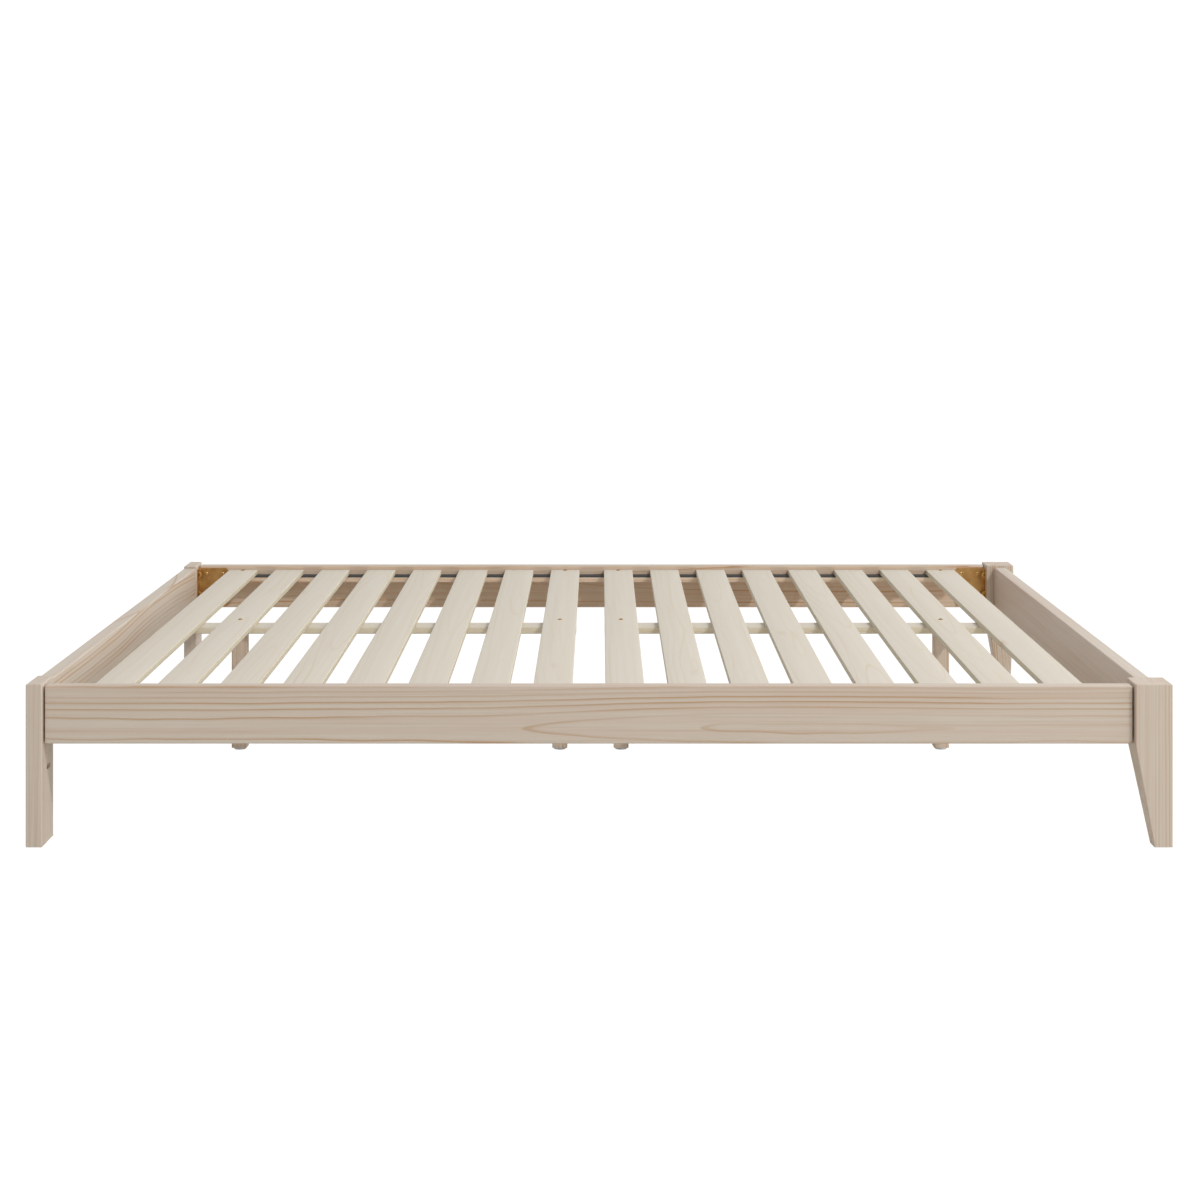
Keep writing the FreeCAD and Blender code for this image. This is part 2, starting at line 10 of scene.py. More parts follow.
import bmesh
import bpy
from bpy.types import Material, Mesh, Node, NodeSocket, NodeTree, Object
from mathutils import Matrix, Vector


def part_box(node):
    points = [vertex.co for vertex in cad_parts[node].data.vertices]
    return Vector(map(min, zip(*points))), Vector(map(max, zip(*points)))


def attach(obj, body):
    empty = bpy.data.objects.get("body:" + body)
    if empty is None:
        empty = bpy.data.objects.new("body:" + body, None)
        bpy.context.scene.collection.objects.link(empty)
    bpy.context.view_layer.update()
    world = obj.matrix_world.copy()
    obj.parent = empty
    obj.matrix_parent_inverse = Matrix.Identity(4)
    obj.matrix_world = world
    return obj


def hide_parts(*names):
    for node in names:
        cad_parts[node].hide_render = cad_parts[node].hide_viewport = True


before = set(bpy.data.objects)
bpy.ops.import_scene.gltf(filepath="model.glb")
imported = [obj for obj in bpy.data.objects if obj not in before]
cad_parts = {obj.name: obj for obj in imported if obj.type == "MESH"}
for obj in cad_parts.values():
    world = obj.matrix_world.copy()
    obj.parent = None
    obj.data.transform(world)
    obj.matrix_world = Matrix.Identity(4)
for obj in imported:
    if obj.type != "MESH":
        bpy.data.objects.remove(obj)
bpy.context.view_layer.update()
LOG = logging.getLogger("bed_frame")

MM = 0.001
FRAME_BODY = "frame"
BOARD_ATTRIBUTE = "board"
FACING_ATTRIBUTE = "facing"
FULL_RANGE = (0.0, 1.0)
HALVES = (0.5, 0.5, 0.5)
WHITE = (1.0, 1.0, 1.0)
WELD_DISTANCE = 0.001 * MM

Colour = tuple[float, float, float]
Place = tuple[float, float, float]
Pair = tuple[float, float]


def srgb(red: int, green: int, blue: int) -> Colour:
    """Turn a colour on the 0 to 255 display scale into scene-linear light, by the sRGB standard."""
    shares = (red / 255, green / 255, blue / 255)
    return tuple(s / 12.92 if s <= 0.04045 else ((s + 0.055) / 1.055) ** 2.4 for s in shares)


class Grain(Enum):
    """The frame axis that a board's fibres run along."""

    ALONG = 0
    ACROSS = 1
    UPRIGHT = 2


class Slot(Enum):
    """Material slots of the record."""

    DRIFTWOOD = "driftwood_pine"
    BARE_PINE = "bare_pine"
    YELLOW_ZINC = "yellow_zinc_steel"
    BRIGHT_ZINC = "zinc_steel"
    RUBBER = "grey_rubber"
    PLASTIC = "grey_plastic"
    BEECH = "dowel_beech"


class Graph:
    """Short-hand for building a node tree."""

    def __init__(self, tree: NodeTree) -> None:
        """Keep the tree that the nodes go into."""
        self.tree = tree

    def add(self, kind: str, inputs: dict | None = None, **settings: Any) -> Node:
        """Add a node.

        Args:
            kind: The node's type name.
            inputs: Values or sockets by input name or number.
            **settings: Attributes of the node, set before its inputs.

        Returns:
            The new node.
        """
        node = self.tree.nodes.new(kind)
        for name, value in settings.items():
            setattr(node, name, value)
        for key, value in (inputs or {}).items():
            self.feed(node.inputs[key], value)
        return node

    def out(
        self, kind: str, inputs: dict | None = None, output: int | str = 0, **settings: Any
    ) -> NodeSocket:
        """Add a node and take one output of it, given by name or number; the rest is as for add."""
        return self.add(kind, inputs, **settings).outputs[output]

    def feed(self, socket: NodeSocket, value: Any) -> None:
        """Link an input to a socket, or set its value.

        Args:
            socket: The input.
            value: A socket or a plain value.
        """
        if isinstance(value, NodeSocket):
            self.tree.links.new(value, socket)
        else:
            socket.default_value = value

    def math(self, operation: str, *values: Any) -> NodeSocket:
        """Arithmetic on numbers or sockets, by Blender's name of the operation."""
        return self.out("ShaderNodeMath", dict(enumerate(values)), operation=operation)

    def vector(self, operation: str, *values: Any) -> NodeSocket:
        """Arithmetic on vectors or sockets; a length or a dot product comes as a number."""
        output = "Value" if operation in ("LENGTH", "DOT_PRODUCT") else "Vector"
        return self.out("ShaderNodeVectorMath", dict(enumerate(values)), output, operation=operation)

    def join(self, x: Any, y: Any, z: Any) -> NodeSocket:
        """Make a vector of three numbers or sockets."""
        return self.out("ShaderNodeCombineXYZ", {0: x, 1: y, 2: z})


class ShaderGraph(Graph):
    """Short-hand for building a material."""

    # Places of a Mix node's share and two colours among its inputs, and of the mixed colour
    MIX_INPUTS = (0, 6, 7)
    MIX_RESULT = 2
    EDGE_SAMPLES = 4

    def __init__(self, name: str) -> None:
        """Start a material with one Principled surface.

        Args:
            name: The material's name.
        """
        self.material = bpy.data.materials.new(name)
        self.material.use_nodes = True
        super().__init__(self.material.node_tree)
        self.surface = self.tree.nodes["Principled BSDF"]

    def place(self) -> NodeSocket:
        """The point in the frame, in metres."""
        return self.out("ShaderNodeTexCoord", output="Object")

    def normal(self) -> NodeSocket:
        """The way that the surface faces in the frame."""
        return self.out("ShaderNodeTexCoord", output="Normal")

    def noise(
        self, vector: NodeSocket, per_metre: Place, detail: float = 2.0, output: str = "Fac"
    ) -> NodeSocket:
        """Smooth noise, stretched along the axes.

        Args:
            vector: Where it is read.
            per_metre: How many features lie in a metre along each axis.
            detail: Octaves of finer noise.
            output: Fac for one number, Color for three.

        Returns:
            The noise, about 0.5 on average.
        """
        scaled = self.vector("MULTIPLY", vector, per_metre)
        return self.out("ShaderNodeTexNoise", {"Vector": scaled, "Scale": 1.0, "Detail": detail}, output)

    def ramp(
        self, value: NodeSocket, stops: Sequence[tuple[float, Colour]], interpolation: str = "LINEAR"
    ) -> NodeSocket:
        """Three numbers read off a line.

        Args:
            value: Where the line is read.
            stops: Places and values along the line.
            interpolation: Blender's name for the line's course between the stops.

        Returns:
            The values' socket.
        """
        node = self.add("ShaderNodeValToRGB", {"Fac": value})
        node.color_ramp.interpolation = interpolation
        elements = node.color_ramp.elements
        while len(elements) < len(stops):
            elements.new(1.0)
        for element, (place, levels) in zip(elements, stops):
            element.position = place
            element.color = (*levels, 1.0)
        return node.outputs["Color"]

    def path(self, run: NodeSocket, points: Sequence[Place]) -> NodeSocket:
        """A smooth path along one axis, with two offsets across it.

        Args:
            run: Where the path is read.
            points: Places along the axis, with the two offsets there.

        Returns:
            The offsets, as the last two parts of a vector.
        """
        first, last = points[0][0], points[-1][0]
        reach = max(abs(offset) for _, *offsets in points for offset in offsets)
        stops = [
            ((place - first) / (last - first), (0.5, *(0.5 + offset / reach / 2 for offset in offsets)))
            for place, *offsets in points
        ]
        levels = self.ramp(self.spread(run, (first, last), FULL_RANGE), stops, "B_SPLINE")
        return self.vector("MULTIPLY", self.vector("SUBTRACT", levels, HALVES), (0.0, 2 * reach, 2 * reach))

    def spread(self, value: NodeSocket, source: Pair, target: Pair) -> NodeSocket:
        """Carry a number from one range to another, and hold it inside that."""
        return self.out("ShaderNodeMapRange", dict(enumerate((value, *source, *target))))

    def blend(self, share: NodeSocket, first: Any, second: Any) -> NodeSocket:
        """Mix two colours.

        Args:
            share: Share of the second colour.
            first: Colour or socket.
            second: Colour or socket.

        Returns:
            The colour's socket.
        """
        colours = [c if isinstance(c, NodeSocket) else (*c, 1.0) for c in (first, second)]
        inputs = dict(zip(self.MIX_INPUTS, (share, *colours)))
        return self.out("ShaderNodeMix", inputs, self.MIX_RESULT, data_type="RGBA")

    def bump(self, height: NodeSocket, distance: float, edge: float = 0.0) -> None:
        """Raise the surface by a height of 0 to 1 times a distance, and soften its edges.

        Args:
            height: The height's socket.
            distance: The rise in metres.
            edge: Radius of the softened edges in metres.
        """
        node = self.add("ShaderNodeBump", {"Height": height, "Distance": distance})
        if edge:
            soft = self.out("ShaderNodeBevel", {"Radius": edge}, "Normal", samples=self.EDGE_SAMPLES)
            self.feed(node.inputs["Normal"], soft)
        self.feed(self.surface.inputs["Normal"], node.outputs["Normal"])

    def finish(self, **values: Any) -> Material:
        """Set the surface's own sockets; an underscore stands for a space.

        Args:
            **values: Values or sockets by socket name.

        Returns:
            The material.
        """
        for name, value in values.items():
            self.feed(self.surface.inputs[name.replace("_", " ")], value)
        return self.material


@dataclass(frozen=True)
class Cut:
    """How a board was sawn from its log.

    The path holds places along the board, in metres from its middle, and the two offsets of the log's core
    from the board's middle there, along the axes across the grain.
    """

    grain: Grain
    path: tuple[Place, ...]
    seed: float
    ring_pitch: float
    wander: float = 0.024
    strength: float = 1.0


def core(half: float, start: Pair, end: Pair) -> tuple[Place, ...]:
    """A straight core's path over a board's half length each way, from its offsets at the two ends."""
    return (-half, *start), (half, *end)


@dataclass(frozen=True)
class Figure:
    """A noise in the wood: features per metre along and across the fibres, and the values that count."""

    per_metre: Place
    span: Pair


FIBRES = Figure((9.0, 620.0, 620.0), (0.3, 0.7))
STRANDS = Figure((2.0, 240.0, 240.0), (0.5, 0.75))
STREAKS = Figure((1.1, 90.0, 90.0), (0.38, 0.66))
PATCHES = Figure((1.6, 22.0, 22.0), (0.36, 0.56))


class WoodGraph(ShaderGraph):
    """Short-hand for the material of a board, or of a set whose mesh holds each board's middle."""

    SEEDS_PER_METRE = 31.7
    SLOW_DRIFT = (0.75, 1.6, 1.6)
    QUICK_DRIFT = (5.0, 14.0, 14.0)
    QUICK_REACH = 4 * MM
    # Just over 1, so that the slope never comes to nothing
    SLOPE_TOP = 1.02
    # Darkness of a growth ring by the share of it that is left to its outer end
    RING_LINE = ((0.0, 0.0), (0.04, 0.8), (0.12, 1.0), (0.32, 0.9), (0.48, 0.35), (0.72, 0.1), (1.0, 0.0))
    RING_SPAN = (0.1, 0.9)
    RING_STRENGTHS = (0.3, 1.0)
    PATCH_STRENGTHS = (0.35, 1.0)
    KNOTS_PER_METRE = (2.6, 8.0, 0.0)
    KNOT_CORE = (0.010, 0.035)
    KNOT_HALO = (0.02, 0.12)
    HALO_STRENGTH = 0.35
    # Upward part of the normal, from a side to a top, over which the painted side light fades out
    UPWARD_SPAN = (0.3, 0.8)

    def __init__(self, name: str, middle: Vector, cut: Cut, numbered: bool) -> None:
        """Find where a point lies along and across the fibres.

        Args:
            name: The material's name.
            middle: The board's middle in the frame.
            cut: How it was sawn.
            numbered: The mesh's own attribute gives the middle along the frame.
        """
        super().__init__(name)
        self.cut = cut
        self.seed: Any = cut.seed
        place = self.vector("SUBTRACT", self.place(), tuple(middle))
        if numbered:
            shift = self.out("ShaderNodeAttribute", output="Fac", attribute_name=BOARD_ATTRIBUTE)
            place = self.vector("SUBTRACT", place, self.join(shift, 0.0, 0.0))
            self.seed = self.math("MULTIPLY_ADD", shift, self.SEEDS_PER_METRE, cut.seed)
        self.run, *self.across = self.turned(place)
        self.fibre_place = self.join(self.math("ADD", self.run, self.seed), *self.across)

    def turned(self, vector: NodeSocket) -> list[NodeSocket]:
        """A vector's part along the fibres, and its two parts across them."""
        parts = list(self.add("ShaderNodeSeparateXYZ", {0: vector}).outputs)
        return [parts.pop(self.cut.grain.value), *parts]

    def figure(self, figure: Figure) -> NodeSocket:
        """A figure's noise."""
        return self.noise(self.fibre_place, figure.per_metre)

    def radius(self) -> NodeSocket:
        """Where a point lies from the log's wandering core, across the fibres.

        Returns:
            The vector in metres.
        """
        radius = self.vector("SUBTRACT", self.join(0.0, *self.across), self.path(self.run, self.cut.path))
        drifts = ((self.SLOW_DRIFT, 2 * self.cut.wander), (self.QUICK_DRIFT, self.QUICK_REACH))
        for per_metre, reach in drifts:
            drift = self.noise(self.fibre_place, per_metre, detail=1.0, output="Color")
            centred = self.vector("SUBTRACT", drift, HALVES)
            radius = self.vector("ADD", radius, self.vector("MULTIPLY", centred, (0.0, reach, reach)))
        return radius

    def late_wood(self) -> NodeSocket:
        """The dark line that ends each growth ring, some faint and some strong.

        A face that the rings meet at a low angle shows them far apart, and the lines are held thin there.

        Returns:
            Share of late wood.
        """
        radius = self.radius()
        _, *facing = self.turned(self.normal())
        lean = self.vector("DOT_PRODUCT", self.vector("NORMALIZE", radius), self.join(0.0, *facing))
        slope = self.math("SQRT", self.math("SUBTRACT", self.SLOPE_TOP, self.math("MULTIPLY", lean, lean)))
        rings = self.math("DIVIDE", self.vector("LENGTH", radius), self.cut.ring_pitch)
        number = self.math("ADD", self.math("FLOOR", rings), self.seed)
        vigour = self.out("ShaderNodeTexWhiteNoise", {"W": number}, "Value", noise_dimensions="1D")
        left = self.math("SUBTRACT", 1.0, self.math("FRACT", rings))
        stops = [(place, (level, level, level)) for place, level in self.RING_LINE]
        line = self.ramp(self.math("DIVIDE", left, slope), stops)
        fade = self.spread(self.figure(PATCHES), PATCHES.span, self.PATCH_STRENGTHS)
        strength = self.math("MULTIPLY", self.spread(vigour, self.RING_SPAN, self.RING_STRENGTHS), fade)
        strength = self.math("MULTIPLY", strength, self.cut.strength)
        return self.math("MULTIPLY", line, strength)

    def knots(self, share: float) -> NodeSocket:
        """Share of small pin knots.

        Args:
            share: The most of it, in a knot's core.

        Returns:
            The share's socket.
        """
        scaled = self.vector("MULTIPLY", self.fibre_place, self.KNOTS_PER_METRE)
        distance = self.out("ShaderNodeTexVoronoi", {"Vector": scaled, "Scale": 1.0}, "Distance")
        heart = self.spread(distance, self.KNOT_CORE, (1.0, 0.0))
        halo = self.spread(distance, self.KNOT_HALO, (self.HALO_STRENGTH, 0.0))
        return self.math("MULTIPLY", self.math("MAXIMUM", heart, halo), share)

    def painted_side_mask(self) -> NodeSocket:
        """How far the surface is a side or underside and not a top: the mask of the painted side light."""
        upward = self.out("ShaderNodeSeparateXYZ", {0: self.normal()}, "Z")
        return self.spread(upward, self.UPWARD_SPAN, (1.0, 0.0))


@dataclass(frozen=True)
class WoodFinish:
    """A wood with its growth rings, fibres and wash, and painted light or shade on its sides."""

    name: str
    slot: Slot
    early: Colour
    late: Colour
    blush: Colour
    ring_contrast: float
    strand_contrast: float
    fibre_contrast: float
    blush_share: float
    roughness: Pair
    relief: float
    edge: float
    # Painted light or shade: tint of the sides and undersides against the top, standing in for how light
    # falls
    painted_side_light: Colour = WHITE
    knot: Colour | None = None
    knot_share: float = 0.0
    late_relief: float = 0.6
    specular: float = 0.4

    def material(self, board: str, middle: Vector, cut: Cut, numbered: bool = False) -> Material:
        """Make the finish for one board, or for a set whose mesh holds each board's middle.

        Args:
            board: The board's name.
            middle: The board's middle in the frame.
            cut: How it was sawn.
            numbered: The mesh's own attribute gives the middle along the frame.

        Returns:
            The material.
        """
        graph = WoodGraph(f"{self.name}_{board}", middle, cut, numbered)
        late = graph.late_wood()
        fibres, strands, streaks = (graph.figure(figure) for figure in (FIBRES, STRANDS, STREAKS))
        blush = graph.spread(streaks, STREAKS.span, (0.0, self.blush_share))
        tone = graph.blend(blush, self.early, self.blush)
        late_share = graph.math("MULTIPLY", late, self.ring_contrast)
        strand_share = graph.spread(strands, STRANDS.span, (0.0, self.strand_contrast))
        tone = graph.blend(graph.math("MAXIMUM", late_share, strand_share), tone, self.late)
        if self.knot:
            tone = graph.blend(graph.knots(self.knot_share), tone, self.knot)
        light = graph.spread(fibres, FIBRES.span, (1.0 - self.fibre_contrast, 1.0 + self.fibre_contrast))
        tone = graph.vector("MULTIPLY", tone, graph.join(light, light, light))
        # Painted light and shade: sides and undersides made lighter, darker or warmer than the top
        tone = graph.vector("MULTIPLY", tone, graph.blend(graph.painted_side_mask(), WHITE, self.painted_side_light))
        graph.bump(graph.math("MULTIPLY_ADD", late, self.late_relief, fibres), self.relief, self.edge)
        return graph.finish(
            Base_Color=tone,
            Roughness=graph.spread(fibres, FIBRES.span, self.roughness),
            Specular_IOR_Level=self.specular,
        )


@dataclass(frozen=True)
class Coat:
    """How a plated or moulded surface varies; patches and grit are in features per metre."""

    patches: float
    tone_span: Pair
    roughness_span: Pair
    grit: float
    grit_depth: float
    metallic: float


PLATED = Coat(
    patches=38.0,
    tone_span=(0.35, 0.65),
    roughness_span=(0.35, 0.65),
    grit=1500.0,
    grit_depth=0.02 * MM,
    metallic=1.0,
)
MOULDED = Coat(
    patches=160.0,
    tone_span=(0.45, 0.7),
    roughness_span=(0.4, 0.7),
    grit=2400.0,
    grit_depth=0.05 * MM,
    metallic=0.0,
)


@dataclass(frozen=True)
class CoatFinish:
    """Clouded zinc plating, or moulded plastic or rubber with a fine grain and scuffs."""

    name: str
    slot: Slot
    coat: Coat
    base: Colour
    patch: Colour
    roughness: Pair

    @cache
    def material(self) -> Material:
        """Make the finish, once for all its pieces.

        Returns:
            The material.
        """
        coat, graph = self.coat, ShaderGraph(self.name)
        place = graph.place()
        patches = graph.noise(place, (coat.patches,) * 3, detail=3.0)
        grit = graph.noise(place, (coat.grit,) * 3, detail=1.0)
        graph.bump(grit, coat.grit_depth)
        return graph.finish(
            Base_Color=graph.blend(graph.spread(patches, coat.tone_span, FULL_RANGE), self.base, self.patch),
            Metallic=coat.metallic,
            Roughness=graph.spread(patches, coat.roughness_span, self.roughness),
        )


DRIFTWOOD = WoodFinish(
    name="driftwood",
    slot=Slot.DRIFTWOOD,
    early=srgb(197, 186, 172),
    late=srgb(172, 136, 99),
    blush=srgb(195, 177, 162),
    ring_contrast=1.0,
    strand_contrast=0.3,
    fibre_contrast=0.03,
    blush_share=0.8,
    roughness=(0.46, 0.58),
    relief=0.12 * MM,
    edge=1.2 * MM,
    # Painted light: sides and undersides a hair lighter than tops
    painted_side_light=(1.005, 1.005, 1.005),
)
# Painted light: a paler copy of driftwood for the support legs, standing in for light under the deck
PALE_LIT_DRIFTWOOD = replace(
    DRIFTWOOD,
    name="driftwood_pale",
    early=srgb(219, 204, 189),
    late=srgb(192, 162, 129),
    blush=srgb(216, 195, 179),
)
# Painted light: the back rail's sides lighter and warmer, standing in for warm light bounced between the
# boards
WARM_LIT_DRIFTWOOD = replace(DRIFTWOOD, name="driftwood_warm", painted_side_light=(1.19, 1.08, 0.98))
# Painted light: the ledges' sides much lighter, standing in for light on their front edges
CREAM_LIT_DRIFTWOOD = replace(DRIFTWOOD, name="driftwood_cream", painted_side_light=(1.40, 1.31, 1.22))
# Painted light: the foot rail's sides a little lighter and pinker
PINK_LIT_DRIFTWOOD = replace(DRIFTWOOD, name="driftwood_pink", painted_side_light=(1.07, 1.03, 1.04))
BARE_PINE = WoodFinish(
    name="bare_pine",
    slot=Slot.BARE_PINE,
    early=srgb(206, 198, 184),
    late=srgb(197, 178, 146),
    blush=srgb(202, 193, 177),
    ring_contrast=0.45,
    strand_contrast=0.12,
    fibre_contrast=0.02,
    blush_share=0.6,
    roughness=(0.52, 0.64),
    relief=0.08 * MM,
    edge=0.8 * MM,
    # Painted shade: the slats' sides and undersides darker and more olive than their tops
    painted_side_light=(0.96, 0.95, 0.86),
    knot=srgb(172, 130, 88),
    knot_share=0.7,
)
# Painted light: the beams' sides much lighter than the slats', standing in for light on their front faces
SIDE_LIT_BEAM_PINE = replace(BARE_PINE, name="beam_pine", painted_side_light=(1.27, 1.25, 1.17))
BEECH = WoodFinish(
    name="beech",
    slot=Slot.BEECH,
    early=srgb(206, 170, 128),
    late=srgb(180, 138, 96),
    blush=srgb(198, 158, 116),
    ring_contrast=0.6,
    strand_contrast=0.2,
    fibre_contrast=0.04,
    blush_share=0.6,
    roughness=(0.5, 0.6),
    relief=0.05 * MM,
    edge=0.4 * MM,
)
YELLOW_ZINC = CoatFinish(
    "yellow_zinc", Slot.YELLOW_ZINC, PLATED, srgb(209, 169, 110), srgb(185, 138, 82), (0.36, 0.50)
)
# Painted highlight: a brighter, glossier copy of the yellow zinc for the bracket's screws, bolts and washers
HIGHLIGHT_ZINC = CoatFinish(
    "bolt_zinc", Slot.YELLOW_ZINC, PLATED, srgb(232, 194, 124), srgb(208, 166, 100), (0.24, 0.34)
)
# Painted shade: a darker copy of the yellow zinc for the slat screws
SHADED_ZINC = CoatFinish(
    "screw_zinc", Slot.YELLOW_ZINC, PLATED, srgb(196, 158, 84), srgb(160, 120, 56), (0.20, 0.30)
)
BRIGHT_ZINC = CoatFinish(
    "bright_zinc", Slot.BRIGHT_ZINC, PLATED, srgb(214, 212, 206), srgb(190, 188, 184), (0.24, 0.36)
)
GREY_PLASTIC = CoatFinish(
    "grey_plastic", Slot.PLASTIC, MOULDED, srgb(222, 228, 233), srgb(232, 237, 241), (0.44, 0.58)
)
GREY_RUBBER = CoatFinish(
    "grey_rubber", Slot.RUBBER, MOULDED, srgb(46, 51, 54), srgb(62, 67, 69), (0.62, 0.78)
)


class Section(Enum):
    """Outline of a turned piece at one height."""

    ROUND = "round"
    HEX = "hex"
    CROSS = "cross"

    def reach(self, radius: float, turn: float) -> float:
        """Distance from the axis to the outline.

        Args:
            radius: Radius of the round, half width of the hex, or length of the cross's arms.
            turn: Angle about the axis.

        Returns:
            The distance.
        """
        if self is Section.HEX:
            sixth = math.pi / 3
            return radius / math.cos(turn % sixth - sixth / 2)
        if self is Section.CROSS:
            quarter = math.pi / 2
            lean = abs((turn + quarter / 2) % quarter - quarter / 2)
            arm_share, least = 0.3, 1e-6
            return radius * min(1.0 / math.cos(lean), arm_share / max(math.sin(lean), least))
        return radius


@dataclass(frozen=True)
class Thread:
    """A ridge that winds round a turned piece between two heights."""

    low: float
    high: float
    pitch: float
    depth: float


TurnedRow = tuple[float, float, Section]


def rounds(*places: Pair) -> list[TurnedRow]:
    """Rows of a round outline, from their radii and heights."""
    return [(radius, height, Section.ROUND) for radius, height in places]


@dataclass
class Turned:
    """A piece turned about the Z axis, given by rows of radius, height and outline.

    The rows run from the lowest one up and over the top; those of a ring run all the way round its section.
    """

    sides: int
    rows: list[TurnedRow]
    thread: Thread | None = None
    ring: bool = False
    steps_per_turn: int = 6

    def mesh(self, name: str) -> Mesh:
        """Build the closed mesh.

        Args:
            name: The mesh's name.

        Returns:
            The mesh.
        """
        shape = bmesh.new()
        loops = [self._loop(shape, *row) for row in self._all_rows()]
        bands = zip(loops, loops[1:] + loops[:1]) if self.ring else zip(loops, loops[1:])
        for lower, upper in bands:
            for side in range(self.sides):
                following = (side + 1) % self.sides
                shape.faces.new((lower[side], lower[following], upper[following], upper[side]))
        if not self.ring:
            shape.faces.new(reversed(loops[0]))
            shape.faces.new(loops[-1])
        mesh = bpy.data.meshes.new(name)
        shape.to_mesh(mesh)
        shape.free()
        return mesh

    def _all_rows(self) -> list[TurnedRow]:
        """Add rows where the thread winds.

        Returns:
            All the rows.
        """
        if self.thread is None:
            return self.rows
        rows = []
        for (radius, height, section), (next_radius, next_height, _) in zip(self.rows, self.rows[1:]):
            inside = self.thread.low <= height < next_height <= self.thread.high
            turns = (next_height - height) / self.thread.pitch if inside else 0.0
            steps = max(1, math.ceil(turns * self.steps_per_turn))
            widening, rise = (next_radius - radius) / steps, (next_height - height) / steps
            rows += [(radius + step * widening, height + step * rise, section) for step in range(steps)]
        return rows + self.rows[-1:]

    def _loop(self, shape: bmesh.types.BMesh, radius: float, height: float, section: Section) -> list:
        """Put points round the axis at one height.

        Args:
            shape: The mesh that is built.
            radius: The row's radius.
            height: The row's height.
            section: The row's outline.

        Returns:
            The points.
        """
        points = []
        for side in range(self.sides):
            turn = 2 * math.pi * side / self.sides
            reach = section.reach(radius, turn)
            if self.thread and self.thread.low <= height <= self.thread.high:
                wind = (height / self.thread.pitch - side / self.sides) % 1.0
                reach -= self.thread.depth * abs(2 * wind - 1)
            points.append(shape.verts.new((reach * math.cos(turn), reach * math.sin(turn), height)))
        return points


@dataclass(frozen=True)
class Fixing:
    """Where a fastener sits: the top of its head, the way that it faces, its length and its head's width."""

    top: Vector
    facing: Vector
    length: float = 0.0
    head: float = 0.0


def solids_of(node: str) -> list[tuple[Vector, Vector]]:
    """Boxes of the separate solids in a node, in the order of its points.

    Args:
        node: The node's name.

    Returns:
        Lowest and highest corner of each solid.
    """
    shape = bmesh.new()
    shape.from_mesh(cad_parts[node].data)
    bmesh.ops.remove_doubles(shape, verts=shape.verts, dist=WELD_DISTANCE)
    left = set(shape.verts)
    boxes = []
    for first in shape.verts:
        if first not in left:
            continue
        left.remove(first)
        waiting, found = [first], []
        while waiting:
            vert = waiting.pop()
            found.append(vert.co.copy())
            near = {edge.other_vert(vert) for edge in vert.link_edges} & left
            left -= near
            waiting.extend(near)
        boxes.append(tuple(Vector(pick(axis) for axis in zip(*found)) for pick in (min, max)))
    shape.free()
    return boxes


def fixings_of(node: str) -> list[Fixing]:
    """Where the fasteners of a node sit; their heads face the bed's middle, or up.

    Args:
        node: The node's name.

    Returns:
        The fasteners' places.
    """
    fixings = []
    for low, high in solids_of(node):
        size = high - low
        axis = max(range(3), key=lambda side: size[side])
        middle = (low + high) / 2
        sign = 1.0 if axis == Grain.UPRIGHT.value or middle[axis] < 0 else -1.0
        facing = Vector([sign if side == axis else 0.0 for side in range(3)])
        top = middle + facing * size[axis] / 2
        head = max(size[side] for side in range(3) if side != axis)
        fixings.append(Fixing(top, facing, size[axis], head))
    return fixings


def link(name: str, data: Any) -> Object:
    """Put a new object into the scene.

    Args:
        name: The object's name.
        data: Its mesh, light or camera.

    Returns:
        The object.
    """
    piece = bpy.data.objects.new(name, data)
    bpy.context.scene.collection.objects.link(piece)
    return piece


def dress(node: str, material: Material) -> None:
    """Give a model node its material.

    Args:
        node: The node's name.
        material: What it wears.
    """
    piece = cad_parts[node]
    if not piece.material_slots:
        piece.data.materials.append(material)
    for slot in piece.material_slots:
        slot.material = material
    LOG.info("%s wears %s", node, material.name)


def settle(piece: Object, body: str, slot: Slot, *nodes: str) -> None:
    """Fasten a new piece to its body and hide the nodes that it stands for.

    Args:
        piece: The new piece.
        body: The body that it rides on.
        slot: Its material slot; not used.
        *nodes: The nodes that it stands for.
    """
    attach(piece, body)
    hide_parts(*nodes)
    LOG.info("%s rides on %s", piece.name, body)


def middle_of(node: str) -> Vector:
    """The middle of a node's box."""
    low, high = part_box(node)
    return (low + high) / 2


